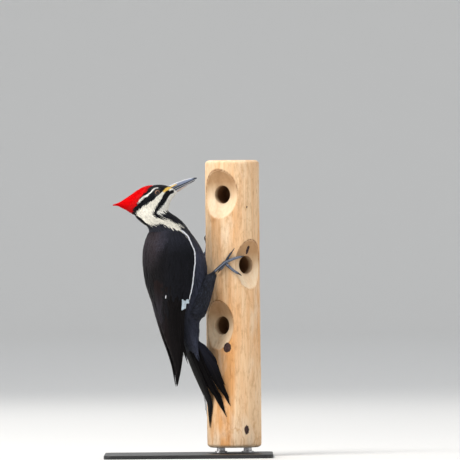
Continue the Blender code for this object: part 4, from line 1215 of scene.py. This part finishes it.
# Flight feathers of the right wing, from the front edge inwards: root and tip station, share of the way
# from the front edge to the inner edge at the root and at the tip, half width.
QUILLS = np.array([
    (9.2, 3.4, 0.05, 0.1, 5.2), (9.2, 2.2, 0.1, 0.18, 5.6), (9.2, 1.2, 0.15, 0.27, 6),
    (9.2, 0.5, 0.2, 0.37, 6.2), (9.2, 0.12, 0.26, 0.5, 6.4), (9.2, 0.3, 0.32, 0.62, 6.4),
    (9.2, 0.8, 0.38, 0.7, 6.4), (9.2, 1.3, 0.44, 0.76, 6.4), (9.3, 1.9, 0.5, 0.8, 6.4),
    (9.3, 2.4, 0.56, 0.83, 6.5), (9.4, 2.8, 0.62, 0.86, 6.6), (9.4, 3.2, 0.68, 0.88, 6.8),
    (9.5, 3.7, 0.74, 0.9, 7), (9.6, 4.3, 0.8, 0.92, 7.2), (9.8, 5, 0.86, 0.94, 7.4),
    (10, 5.8, 0.91, 0.96, 7.4),
])
QUILL_STEPS, QUILL_PITCH = 44, 0.075
QUILL_ACROSS = np.array([-1, -0.85, -0.5, -0.12, 0, 0.12, 0.5, 0.85, 1])
# Steps along a broad feather, and its half width at each.
WIDE = {"steps": np.array([0.04, 0.2, 0.4, 0.6, 0.76, 0.88, 0.95, 0.985]),
        "half": np.array([0.25, 0.62, 0.9, 1, 0.9, 0.66, 0.4, 0.18]), "across": 5}
BROAD = {**WIDE, "thick": 0.12, "ragged": 0.16}
COVERT_BLUE, COVERT_BROWN, COVERT_FRINGE = light_of(22, 23, 30), light_of(22, 18, 20), light_of(58, 62, 76)
QUILL_BLACK, QUILL_BROWN, QUILL_SLATE = light_of(12, 10, 11), light_of(30, 22, 22), light_of(42, 40, 46)
QUILL_WORN = light_of(70, 64, 66)


def cloak_point(station, angle, height):
    """The folded wings' outer surface and the mantle between them: an oval of the table's middle, depth and
    width, grown by the height. Angle 0 is the middle of the back, and the right is positive."""
    rows = between(WING, station)
    ahead = rows[..., 1] - (rows[..., 2] + height) * np.cos(angle)
    return place(ahead, (rows[..., 3] + height) * np.sin(angle), rows[..., 0])


def wing_point(sign):
    """One wing's surface by the share of the way from its front edge (0) to its inner edge (1)."""
    def point(station, share, height):
        rows = between(WING, station)
        angle = np.radians(rows[..., 4] + (rows[..., 5] - rows[..., 4]) * share)
        return cloak_point(station, sign * angle, height)
    return point


def make_wing_plate(side, sign):
    """The wing's body: its outer face just under the surface, and its inner face at the table's thickness."""
    stations = np.linspace(0.4, SHOULDER - 1.4, 90)
    share = np.append(np.linspace(0.03, 0.97, PLATE_ACROSS), np.linspace(0.97, 0.03, PLATE_ACROSS))
    low = between(WING, stations)[:, 6:7] * np.repeat((-0.45, -1), PLATE_ACROSS)
    rings = wing_point(sign)(*np.meshgrid(stations, share, indexing="ij"), low)
    mesh = ring_solid("wing_plate_" + side, rings[:, :: -sign])
    paint_colour(mesh, np.tile(QUILL_BLACK, (len(mesh.vertices), 1)))
    show(mesh, quill_gloss, "flight_feather", "wing_" + side)


def wing_tint(seed):
    """Colours of the coverts: bluish in front, browner behind and below, each with a faint paler fringe.
    They are deepest black low on the wing and lightened to slate over the shoulders and down the mantle by
    painted top light; each is darker at its root with painted shade."""
    def tint(points, s, x, number):
        side, z = own_side_view(points[:, 12])
        mantle = unit((14 + 0.5 * (z - 295) - side) / 12)
        # painted top light: the coverts lighten towards the shoulders, and the mantle more so upwards
        strength = 0.6 + 1.2 * unit((z - 294) / 25) * (1 - mantle)
        strength = (strength + mantle * 3.9 * unit((z - 262) / 45))[:, None, None]
        colour = blend(COVERT_BLUE, COVERT_BROWN, unit((26 - side) / 26)[:, None])
        own = 1 + np.random.default_rng(seed).normal(0, 0.14, len(number))[:, None, None]
        fringe = unit((s - 0.86) / 0.12 + np.abs(x) - 0.75)[..., None] * 0.3
        # painted shade: darker towards each root
        shade = (0.8 + 0.2 * unit(s / 0.6))[..., None]
        return strength * (colour * own * shade * (1 - fringe) + COVERT_FRINGE * fringe)
    return tint


def covert(at, column, share=1):
    """A share of the coverts' spacing (1) or length (2) at stations of the wing."""
    return np.interp(at, COVERTS[:, 0], share * COVERTS[:, column])


def make_coverts(side, sign):
    """Rows of coverts from the shoulder to the flight feathers, larger and longer downwards."""
    surface = wing_point(sign)
    rows = spaced_rows(surface, COVERTS_LOW, SHOULDER - 0.02, lambda at: 0.8 * covert(at, 1),
                       (0.1, 0.4, 0.7))
    station, share, gap = scattered_roots(surface, rows, covert(rows, 1), 100, (0.015, 1))
    chance, count = np.random.default_rng(101), len(station)
    length = covert(station, 2) * chance.uniform(0.85, 1.12, count)
    lie = chance.normal(0, 0.09, count)
    top = unit(station - 14)
    station = station - 0.3 * top * chance.random(count)
    heights = (-1.3 - 2.2 * top, 0.05 - 0.3 * chance.random(count) - 0.8 * top)
    bake = (0.02 + 0.96 * unit(share), 0.02 + 0.96 * (station - COVERTS_LOW) / (SHOULDER - COVERTS_LOW))
    grow_vanes("coverts_" + side, "flight_feather", covert_gloss, surface, (station, share, lie),
               (length, 0.56 * gap), heights, wing_tint(102), bake, flip=sign > 0, **BROAD)


def make_mantle():
    """The back between the wings, and the scapulars that lap the wings' inner edges."""
    rows = spaced_rows(cloak_point, MANTLE_LOW, SHOULDER - 0.05, lambda at: 0.8 * covert(at, 1, 0.85),
                       (-0.3, 0, 0.3))
    roots = scattered_roots(cloak_point, rows, covert(rows, 1, 0.85), 110, (-0.95, 0.95))
    inner = np.radians(between(WING, roots[0])[:, 5])
    keep = np.abs(roots[1]) < inner + 0.22 + 0.1 * unit(10 - roots[0])
    station, angle, gap, inner = np.vstack([roots, inner])[:, keep]
    chance, count = np.random.default_rng(111), len(station)
    length = covert(station, 2) * 0.9 * chance.uniform(0.85, 1.12, count)
    lie = chance.normal(0, 0.08, count) + 0.12 * np.sign(angle)
    lap, top = unit((np.abs(angle) - inner) / 0.1), unit((station - 13.8) / 1.2)
    station = station - 0.25 * top * chance.random(count)
    heights = (-2.6 - 1.5 * top, 0.05 + 0.5 * lap - 0.3 * chance.random(count) - 0.8 * top)
    bake = (0.5 + 0.5 * angle, 0.02 + 0.96 * (station - MANTLE_LOW) / (SHOULDER - MANTLE_LOW))
    grow_vanes("mantle", "black_plumage", covert_gloss, cloak_point, (station, angle, lie),
               (length, 0.56 * gap), heights, wing_tint(112), bake, **BROAD)


def smooth(x):
    """An even rise from 0 to 1."""
    x = unit(x)
    return x * x * (3 - 2 * x)


def make_quills(side, sign):
    """Flight feathers, one to a row of (root and tip station, root and tip share, half width).

    A point t along and x across is at station root + (tip - root) * t and share likewise, moved
    half width * w(t) * x sideways, at the stack's height + tilt against x + camber + the shaft's ridge.
    w(t) rises from the root and closes in a rounded point; the edges are torn a little by chance.
    """
    surface, count = wing_point(sign), len(QUILLS)
    t = np.linspace(0, 1, QUILL_STEPS)[None, :, None] ** 0.9
    x = np.append(QUILL_ACROSS, [0.5, 0, -0.5])
    top = np.arange(len(x)) < len(QUILL_ACROSS)
    root, tip, share_root, share_tip, half = QUILLS.T[:, :, None, None]
    station = root + (tip - root) * t
    share = share_root + (share_tip - share_root) * t + 0 * station
    torn = np.random.default_rng(count).uniform(-0.07, 0.02, (count, QUILL_STEPS, len(x))) * (np.abs(x) > 0.8)
    wide = half * (0.6 + 0.4 * smooth(t / 0.15)) * np.maximum(1 - t**5, 0) ** 0.6 + 0.25
    across = wide * (x + torn)
    moved = share + across / pace(surface, station[..., 0], share[..., 0])[1][..., None]
    shaft = 0.28 * (1 - t) ** 0.5 * (np.abs(x) < 0.05)
    height = -1.15 - 1.2 * (1 - smooth(t / 0.22)) + QUILL_PITCH * np.arange(count)[:, None, None]
    height = height - 0.035 * half * x - 0.04 * half * x**2 + np.where(top, 0.12 + shaft, -0.12)
    points = surface(station + 0 * moved, moved, height)
    size = QUILL_STEPS * len(x)
    ends = np.stack([points[:, 0].mean(1), points[:, -1].mean(1)], axis=1)
    points = np.concatenate([points.reshape(count, size, 3), ends], axis=1).reshape(-1, 3)
    faces = (many(part, count, size + 2) for part in ring_faces(QUILL_STEPS, len(x)))
    mesh = build_mesh("quills_" + side, points, *faces, flip=sign < 0)
    mesh.set_sharp_from_angle(angle=math.radians(60))
    down = t * (root - tip) * 15
    flat = (np.broadcast_to(part, across.shape).reshape(count, size) for part in (t, x, down, across))
    t, x, down, across = (np.concatenate([part, part[:, :1], part[:, -1:]], axis=1) for part in flat)
    number = np.arange(count)[:, None]
    paint_colour(mesh, quill_tint(t, x, number).reshape(-1, 3))
    add_maps(mesh, across, down, (number + 0.5 + 0.45 * np.clip(x, -1, 1)) / count, 0.01 + 0.98 * t)
    show(mesh, quill_gloss, "flight_feather")


def quill_tint(t, x, number):
    """Near black, browner towards the inner quills, slate on the innermost; worn paler tips and edges."""
    last = number.max()
    colour = blend(QUILL_BLACK, QUILL_BROWN, unit((number - 9) / (last - 9)))
    colour = blend(colour, QUILL_SLATE, unit((number - last + 2.5) / 2) * unit(t * 1.8 - 0.6))
    own = 1 + np.random.default_rng(7).normal(0, 0.1, number.shape)[..., None]
    pale = np.maximum(unit((t - 0.93) / 0.07) * 0.25, unit((np.abs(x) - 0.8) / 0.2) * 0.14)[..., None]
    shaft = (np.abs(x) < 0.05)[..., None] * 0.5
    return colour * own * (1 - pale) * (1 - shaft) + QUILL_WORN * pale + QUILL_BLACK * 0.4 * shaft


covert_gloss = feather_gloss("covert_plumage", 0.0001, 0.6, 0.03, shine=0.09)
quill_gloss = feather_gloss("flight_feather", 0.00004, 0.55, 0, pitch=0.35, shine=0.045)
for side, sign in SIDES.items():
    make_wing_plate(side, sign)
    make_coverts(side, sign)
    make_quills(side, sign)
make_mantle()

# White line along each wing's front edge, and the white bases of two primaries: side view, half width.
EDGE_LINE = np.array([
    (38, 324.4, 1.9), (45.5, 317.9, 1.8), (50.1, 311.8, 1.5), (54.7, 300.7, 1.2), (57.9, 292.7, 1.1),
    (58.5, 278.5, 1.2), (56.8, 262.8, 1), (55.1, 248.6, 0.9), (52.6, 235.9, 0.7), (49.7, 228.2, 0.5),
])
WHITE_BASES = [
    (40.6, 225.6, 15.5), (42.6, 225.9, 15), (44.6, 226, 14), (46.5, 225.6, 6.6), (48.4, 225.4, 6.2),
]
WHITE_MARK = (17.1, 232.4, 6.5)
EDGE_FEATHERS, LIE_STEP = 110, 4
EDGE_WHITE, PATCH_WHITE = light_of(236, 238, 244), light_of(196, 212, 222)


def place_on_wing(x, z):
    """Station and angle on the right wing's outer surface of points given in side view."""
    station = np.interp(z, WING[:, 0], np.arange(len(WING)))
    angle = np.radians(np.linspace(20, 125, 400))
    seen = cloak_point(station[:, None], angle[None, :], 0)[..., 0] - NAPE_X
    return station, angle[np.argmin(np.abs(seen - x[:, None]), axis=1)]


def make_white_feathers(name, sign, rows, width, height, colour, seed, along_line=False, **more):
    """White vanes set at (x, z, length) of the side view, or mirrored on the left, lying down the wing or
    along the line that the rows make."""
    x, z, length = np.asarray(rows, float).T
    count = len(x)
    station, angle = place_on_wing(x, z)
    lower_x = np.interp(z - LIE_STEP, z[::-1], x[::-1]) if along_line else x
    lower_angle = place_on_wing(lower_x, z - LIE_STEP)[1]
    lie = np.arctan2((lower_angle - angle) * pace(cloak_point, station, angle)[1], LIE_STEP)
    lie = sign * (lie + np.random.default_rng(seed).normal(0, 0.05, count))
    high = np.full(count, height)
    grow_vanes(name, "flight_feather", covert_gloss, cloak_point, (station, sign * angle, lie),
               (length, width + 0 * x), (high - 0.5, high),
               # painted shade: each white vane darker towards its root
               lambda points, s, x, number: colour * unit(0.82 + 0.25 * s)[..., None],
               (0.1 + 0.8 * np.arange(count) / count, np.full(count, 0.5)), ragged=0.12, camber=0.05, **more)


edge_rows = between(EDGE_LINE, np.linspace(0, len(EDGE_LINE) - 1.3, EDGE_FEATHERS))
edge_places = np.column_stack([edge_rows[:, :2], np.full(EDGE_FEATHERS, 6)])
square = {"steps": np.array([0.02, 0.2, 0.5, 0.8, 0.96]), "half": np.array([0.9, 1, 1, 0.98, 0.9])}
for side, sign in SIDES.items():
    make_white_feathers("wing_edge_" + side, sign, edge_places, edge_rows[:, 2] * 0.8, 0.25, EDGE_WHITE, 120,
                        along_line=True)
    make_white_feathers("quill_bases_" + side, sign, WHITE_BASES, 1.2, 0.15, PATCH_WHITE, 121, **square)
    make_white_feathers("tertial_mark_" + side, sign, [WHITE_MARK], 0.7, 0.5, EDGE_WHITE, 122)


# ------------------------------------------------------------------
# Thighs: feathered down to the ankle in soft loose plumes, which hang towards the belly in waves. Each
# is slaty and darker at its root with painted shade, and some loose ends catch the light in pale blue wisps.
def make_thigh_coat(side, sign):
    """Plumes on a thigh, from the ankle down; those at its lower end close it in a soft round."""
    surface = thigh_point(sign)
    rows = spaced_rows(surface, 0.1, len(THIGH) - 1.02, lambda at: 1.5 + 0 * at)
    station, angle, gap = scattered_roots(surface, rows, np.full(len(rows), 1.75), 130)
    chance, count = np.random.default_rng(131), len(station)
    thin = between(THIGH[:, 3:4], station)[:, 0]
    length = np.minimum(4 + 0.42 * thin, 10.5) * chance.uniform(0.8, 1.2, count)
    length = np.minimum(length, (station + 0.75) * pace(surface, station, angle)[0])
    heights = (-1.9 * np.minimum(thin / 8, 1), -0.25 + 0.25 * chance.normal(0, 1, count))

    def tint(points, s, x, number):
        chance = np.random.default_rng(132)
        own = 1 + chance.normal(0, 0.15, count)[:, None, None]
        wisp = (chance.random(count) < 0.4)[:, None, None] * 0.5
        fringe = unit((s - 0.6) / 0.25 + np.abs(x) - 0.7)[..., None] * wisp
        # painted shade: darker towards each plume's root
        return 2.1 * SLATE * own * (0.6 + 0.4 * s)[..., None] * (1 - fringe) + FRINGE_BLUE * fringe

    root = (station, angle, chance.normal(0, 0.26, count))
    size = (length, np.minimum(0.42 * gap, 0.1 * length + 0.3))
    bake = (0.02 + 0.96 * (angle / (2 * np.pi)), 0.02 + 0.96 * station / len(THIGH))
    grow_vanes("thigh_coat_" + side, "black_plumage", body_gloss, surface, root, size, heights, tint, bake,
               sway=0.22, half=SILKY_HALF)


for side, sign in SIDES.items():
    make_thigh_coat(side, sign)


# ------------------------------------------------------------------
# Tail: ten stiff black feathers that prop the bird against the log, each with a strong shaft and a
# worn, pointed tip. The middle pair is the longest and lies over the rest; coverts lap their roots.
LOG_AHEAD, GAP = 129.3, 0.35
# Angle round the arc at the root, spread by mid length, hook at the tip, power of the hook,
# tip z, half width, stacking level at the tip and at the root.
TAIL = {
    1: (5, 2.5, -7, 3, 42, 7.9, 0, 4),
    2: (11, 7, 20, 5, 66, 7.6, 1, 3),
    3: (17, 3, 24.8, 3.5, 57.6, 8.7, 0, 2),
    4: (24, 18, 11, 8, 73.2, 9.4, 0, 1),
    5: (29, 17, 7, 4, 103, 7.5, 0, 0),
}
TAIL_ROOT, TAIL_THICKNESS, TAIL_PITCH, TAIL_STEPS = 168, 0.8, 1.15, 90
# Heights: the feathers leave the log's side from TAIL_TOUCH up, and change order across the stack.
TAIL_TOUCH, TAIL_RISE, TAIL_STAND_OFF = 87, 88, 36
STACK_LOW, STACK_HIGH = 72, 90
TAIL_ACROSS = np.array([-1, -0.86, -0.6, -0.3, -0.1, 0, 0.1, 0.3, 0.6, 0.86, 1])
TAIL_BLUE, TAIL_RIDGE, TAIL_EDGE = light_of(30, 32, 43), light_of(40, 36, 38), light_of(48, 44, 46)


def arc_point(turn, radius, z, sign, back=0):
    """A point round the log: turn in degrees from the bird's plane, back moves the arc off the log."""
    angle = np.radians(turn)
    return place(LOG_AHEAD - back - radius * np.cos(angle), sign * radius * np.sin(angle), z)


def make_tail_feather(number, side, sign):
    """One feather on an arc about the log: a point t along and x across is at height
    root + (tip - root) * t and turn(t) + half width * w(t) * x / radius, its face domed, its shaft raised,
    its edges thin and notched where barbs have parted."""
    root, spread, hook, power, tip, half, low, high = TAIL[number]
    t = np.linspace(0, 1, TAIL_STEPS)[:, None]
    over = np.append(TAIL_ACROSS, TAIL_ACROSS[-2:0:-1])
    z = TAIL_ROOT + (tip - TAIL_ROOT) * t
    level = low + (high - low) * smooth((z - STACK_LOW) / (STACK_HIGH - STACK_LOW))
    radius = LOG_RADIUS + GAP + TAIL_THICKNESS / 2 + TAIL_PITCH * level
    back = TAIL_STAND_OFF * (1 - (1 - unit((z - TAIL_TOUCH) / TAIL_RISE)) ** 1.35)
    slim, settle = (0.8, 0.25) if number < 4 else (0.12, 0.14)
    width = half * (slim + (1 - slim) * smooth(t / settle)) * (1 - t**3) ** 1.2 + 0.3
    chance = np.random.default_rng(140 + number)
    notch = 0.07 * (chance.random((TAIL_STEPS, 1)) < 0.06)
    frayed = 1 - (notch + 0.03 * chance.random((TAIL_STEPS, 1))) * (np.abs(over) > 0.95) * (t > 0.25)
    # The right middle feather lies over the left one, past the bird's plane.
    lap = -2.5 if number == 1 and sign > 0 else 0.25
    turn = root + spread * smooth(t / 0.45) + hook * t**power
    turn = np.maximum(turn + np.degrees(width * over * frayed / radius), lap)
    shaft = 0.3 * np.exp(-((over / 0.06) ** 2)) * (1 - 0.75 * t)
    dome = 0.5 * TAIL_THICKNESS * (1 - 0.75 * over**2)
    height = np.where(np.arange(len(over)) < len(TAIL_ACROSS), 1, -1) * (0.45 * dome + shaft)
    rings = arc_point(turn, radius + 0.35 * (lap < 0) + height, z, sign, back)
    mesh = ring_solid(f"tail_vane_{side}_{number}", rings[:, :: -sign])
    along = np.append(np.broadcast_to(t, height.shape), (0, 1))
    across = np.append((over + 0 * t)[:, :: -sign], (0, 0))
    colour = blend(QUILL_BLACK, TAIL_BLUE, unit(0.9 - 1.5 * along) * (number >= 4))
    colour = blend(colour, TAIL_RIDGE, (np.abs(across) < 0.05) * 0.5)
    paint_colour(mesh, blend(colour, TAIL_EDGE, unit((np.abs(across) - 0.85) / 0.15) * 0.35))
    add_maps(mesh, across * half, along * (TAIL_ROOT - tip))
    show(mesh, quill_gloss, "flight_feather", f"tail_feather_{side}_{number}")


for side, sign in SIDES.items():
    for number in TAIL:
        make_tail_feather(number, side, sign)

# Coverts over the tail's root: long black ones above, soft slaty ones below with loose tips.
rows = np.arange(-0.75, 1.3, 0.17)
station, angle, gap = scattered_roots(body_point, rows, np.full(len(rows), 3.6), 150)
chance, count = np.random.default_rng(151), len(station)
length = np.where(np.cos(angle) > 0.3, 24, 19) * chance.uniform(0.8, 1.15, count)
length = np.minimum(length, (station + 3.2) * pace(body_point, station, angle)[0])
heights = (-1.8 - 0.8 * chance.random(count), -0.3 + 0.5 * chance.random(count))
root = (station, angle, chance.normal(0, 0.12, count))
grow_vanes("coat_tail_root", "black_plumage", body_gloss, body_point, root, (length, 0.62 * gap), heights,
           coat_tint(152, 0.55, 0.5), bake_place(station, angle, -0.8, 1.4), **WIDE)


def loose_covert_point(station, angle, height):
    """A plane for the loose coverts behind the tail: station 1 at their roots, 0 at the longest one's tip,
    angle in millimetres to the right."""
    return place(54.4 - 12.4 * station - height, angle, 132.6 + 33.4 * station - 0.3 * height)


# Three narrow pointed coverts that stand off the tail's root.
grow_vanes("loose_coverts", "black_plumage", quill_gloss, loose_covert_point,
           (np.ones(3), [0, 3.5, -4], [0, 0.05, -0.03]), ([35.6, 27, 24], [2.6, 2.4, 2.4]),
           (np.zeros(3), np.zeros(3)),
           lambda points, s, x, number: QUILL_BLACK * (0.8 + 0.5 * np.abs(x))[..., None],
           (np.array([0.2, 0.5, 0.8]), np.full(3, 0.5)), across=5, thick=0.5, ragged=0.05,
           steps=np.array([0.02, 0.15, 0.35, 0.55, 0.72, 0.85, 0.93, 0.98]),
           half=np.array([0.5, 0.85, 1, 0.92, 0.72, 0.46, 0.24, 0.1]))


# ------------------------------------------------------------------
# Feet: scaled shanks and toes that grip the wood, two of each foot's toes reaching forward and two
# spread aside and back. Each toe has ring scales above and pads below, and ends in a hooked claw.
ANKLE = np.array((80.8, 33.8, 265))
PALM_HEIGHT = 3.4
SHANK_RADII = (2.2, 2.2, 2.3, 2.5, 2.8, 2.1)
FOOT_TURN = {"right": 44.3, "left": 51.6}
FOOT_Z = {"right": 276.6, "left": 289.5}
# Each toe's way from the palm: degrees round the wood, height.
TOES = {
    "right": {
        1: [(0, -1), (-6, -7), (-10, -10)],
        2: [(0.5, 1), (7.5, 9), (13.5, 15)],
        3: [(1.5, 0.5), (13, 4.4), (24, 7), (36, 8.6)],
        4: [(1, -1), (10.5, -7), (18.5, -12), (27, -15.5)],
    },
    "left": {
        1: [(0, -1), (-7, -7.5), (-12, -9)],
        2: [(0, 1), (3.5, 12), (-1.5, 20)],
        3: [(1, 0.5), (11, 9), (19, 15), (27, 20)],
        4: [(1, -0.5), (12, -5), (21, -8), (29, -11)],
    },
}
TOE_RADII = {1: (1.7, 1.4), 2: (1.6, 1.25), 3: (2, 1.5), 4: (2.1, 1.6)}  # at the palm and at the claw
TOE_LIFT, TOE_BEND = 0.25, 4.5
SHANK_SCALE, TOE_SCALE = 1.9, 1.15
SHANK_STEPS, TOE_STEPS, CLAW_STEPS = 120, 110, 40
CLAW_START, CLAW_LENGTH, CLAW_ARCH = -1.3, 8.6, 0.9
FOOT_BLUE, FOOT_DARK, FOOT_PALE = light_of(74, 82, 100), light_of(18, 20, 27), light_of(150, 160, 176)


def on_wood(side, sign, turn, z, height):
    """Points this high above the wood, where turn is degrees from the bird's plane on its own side. On the
    right the wood is scooped, and a toe bridges what is hollow within its bend."""
    wood = LOG_RADIUS + 0 * turn
    if side == "right":
        near = [[scoop_radius(turn + bend - 60, z, port) for port in PORTS]
                for bend in (-TOE_BEND, 0, TOE_BEND)]
        wood = np.minimum(wood, np.max(np.min(near, axis=1), axis=0))
    return arc_point(turn, wood + GAP + height, z, sign)


def limb_mesh(name, path, radius, sides):
    """A tube along a smooth path: rings square to it, of the radius at each step and angle. sides fixes the
    direction of angle 0 as the part of a vector square to the path."""
    along = np.gradient(path, axis=0)
    along /= length_of(along)[:, None]
    first = sides - along * np.sum(sides * along, axis=1, keepdims=True)
    first /= length_of(first)[:, None]
    angle = full_turn(radius.shape[1])[None, :, None]
    ring = np.cos(angle) * first[:, None] + np.sin(angle) * np.cross(along, first)[:, None]
    return ring_solid(name, path[:, None] + radius[..., None] * ring)


def scaled_radius(run, base, pitch, angle):
    """A limb's radius: rounded scutes of this pitch across its upper side, small pads below, and plain
    round between; with it, how deep in a groove each point is."""
    phase = (run / pitch)[:, None]
    scute = np.abs(np.sin(np.pi * phase)) ** 0.6
    pad = np.abs(np.sin(np.pi * phase * 0.45)) ** 0.8
    upper, lower = unit(np.cos(angle) * 1.4 + 0.3), unit(-np.cos(angle) * 1.4 - 0.2)
    groove = (1 - scute) * upper + (1 - pad) * lower
    return base[:, None] * (1 + 0.05 * upper * scute + 0.1 * lower * pad - 0.03 * (upper + lower)), groove


def paint_foot(mesh, groove, tone):
    """Blue grey scales with dark grooves: tone moves each scale from dark (0) to pale (1)."""
    tone = unit(tone)
    groove, tone = np.append(groove, (0, 0)), np.append(tone, (tone[0, 0], tone[-1, -1]))
    colour = FOOT_BLUE * (1 - 2 * np.abs(tone - 0.5))[:, None]
    colour = colour + FOOT_DARK * unit(1 - 2 * tone)[:, None] + FOOT_PALE * unit(2 * tone - 1)[:, None]
    paint_colour(mesh, blend(colour, FOOT_DARK, np.clip(1.1 * groove - 0.35, 0, 0.7)))


def make_shank(side, sign):
    """The shank from ankle to palm, dark in front with a row of pale scutes."""
    palm = on_wood(side, sign, np.array(FOOT_TURN[side]), np.array(FOOT_Z[side]), PALM_HEIGHT)
    ankle = place(*ANKLE * (1, sign, 1))
    share = np.linspace(-0.12, 1.08, SHANK_STEPS)
    path = ankle + (palm - ankle) * share[:, None]
    run, angle = run_of(path), full_turn(36)
    base = np.interp(share, (-0.12, 0, 0.4, 0.8, 1, 1.08), SHANK_RADII)
    radius, groove = scaled_radius(run, base, SHANK_SCALE, angle)
    turn = np.radians(BODY_TURN)
    forward = np.array((np.sin(turn), -sign * np.cos(turn), 0.6))
    mesh = limb_mesh("shank_" + side, path, radius, forward)
    scute = np.abs(np.sin(np.pi * run / SHANK_SCALE))[:, None]
    spot = unit(np.cos(3 * angle) * scute - 0.35) * 2.2
    fade = unit(1.15 - share[:, None])
    paint_foot(mesh, groove, 0.1 + 0.28 * (1 - fade) + spot * (0.35 + 0.65 * fade))
    show(mesh, foot_skin, "scaled_foot", "tarsus_" + side)


def make_toe(side, sign, number):
    """A toe along its route over the wood, swollen at its joints, and its claw: an arch ahead of it whose
    point comes down on the wood."""
    route = TOES[side][number]
    coarse = between(route, np.linspace(0, len(route) - 1, 2 * len(route) - 1))
    coarse = coarse + (FOOT_TURN[side], FOOT_Z[side])
    radii = np.linspace(*TOE_RADII[number], len(coarse))
    steps = np.linspace(0, len(coarse) - 1, TOE_STEPS)
    path = between(on_wood(side, sign, *coarse.T, radii + TOE_LIFT), steps)
    joints = 1 + 0.1 * np.cos(np.pi * steps) ** 6
    close = np.sqrt(np.clip(1 - (np.clip(steps - steps[-1] + 0.35, 0, None) / 0.4) ** 2, 0.05, 1))
    angle = full_turn(28)
    base = np.interp(steps, np.arange(len(radii)), radii) * joints * close
    radius, groove = scaled_radius(run_of(path), base, TOE_SCALE, angle)
    mesh = limb_mesh(f"toe_skin_{side}_{number}", path, radius, out_of_log(path))
    bands = np.repeat(np.random.default_rng(160 + number).uniform(-0.08, 0.16, 40), 3)[:TOE_STEPS, None]
    # painted light and shade: each toe a little paler on its side away from the wood, darker against it
    paint_foot(mesh, groove, (0.1 if number == 2 else 0.5) + (bands + 0.1 * np.cos(angle)))
    show(mesh, foot_skin, "scaled_foot", f"toe_{side}_{number}")
    degrees = math.degrees(1 / LOG_RADIUS)
    ahead = (coarse[-1] - coarse[-2]) / (degrees, 1)
    ahead /= length_of(ahead)
    marks = np.linspace(0, 1, 5)
    reach = CLAW_START + CLAW_LENGTH * marks
    lift = (radii[-1] + TOE_LIFT) * (1 - marks**2) + CLAW_ARCH * np.sin(np.pi * marks) + 0.35
    turn, z = coarse[-1, 0] + ahead[0] * reach * degrees, coarse[-1, 1] + ahead[1] * reach
    spine = between(on_wood(side, sign, turn, z, lift), np.linspace(0, 4, CLAW_STEPS))
    thick = np.interp(np.linspace(0, 1, CLAW_STEPS), (0, 0.3, 0.6, 0.85, 1), (1, 0.92, 0.72, 0.42, 0.12))
    angle = full_turn(20)
    section = (thick * radii[-1])[:, None] * (1 - 0.28 * np.sin(angle) ** 2 + 0.06 * np.cos(angle))
    claw = limb_mesh(f"claw_horn_{side}_{number}", spine, section, out_of_log(spine))
    show(claw, claw_horn, "claw_horn", f"claw_{side}_{number}")


def out_of_log(path):
    """The way level out from the log's axis to a path's middle."""
    return (path.mean(0) - (LOG_X, LOG_Y, 0)) * (1, 1, 0)


# Dry scaled skin: the painted tint, darker in the grooves, with a fine grain and a slight sheen; and dark
# horn, streaked along its length.
CLAW_BLACKS = ((0.3, (0.012, 0.012, 0.014)), (0.75, (0.055, 0.05, 0.055)))
foot_skin, foot_shader, grain = tinted_material("scaled_foot", 1400, 0.78, 1.15, 0.38, 0.6)
feed(foot_shader, {"Specular IOR Level": 0.4})
bump(foot_shader, grain["Cloud"], 0.00008)
claw_horn = one_noise_finish("claw_horn", (900, 4, (1, 1, 0.3)), CLAW_BLACKS, 0.28, 0.45, 0.00005)
for side, sign in SIDES.items():
    make_shank(side, sign)
    for number in TOES[side]:
        make_toe(side, sign, number)
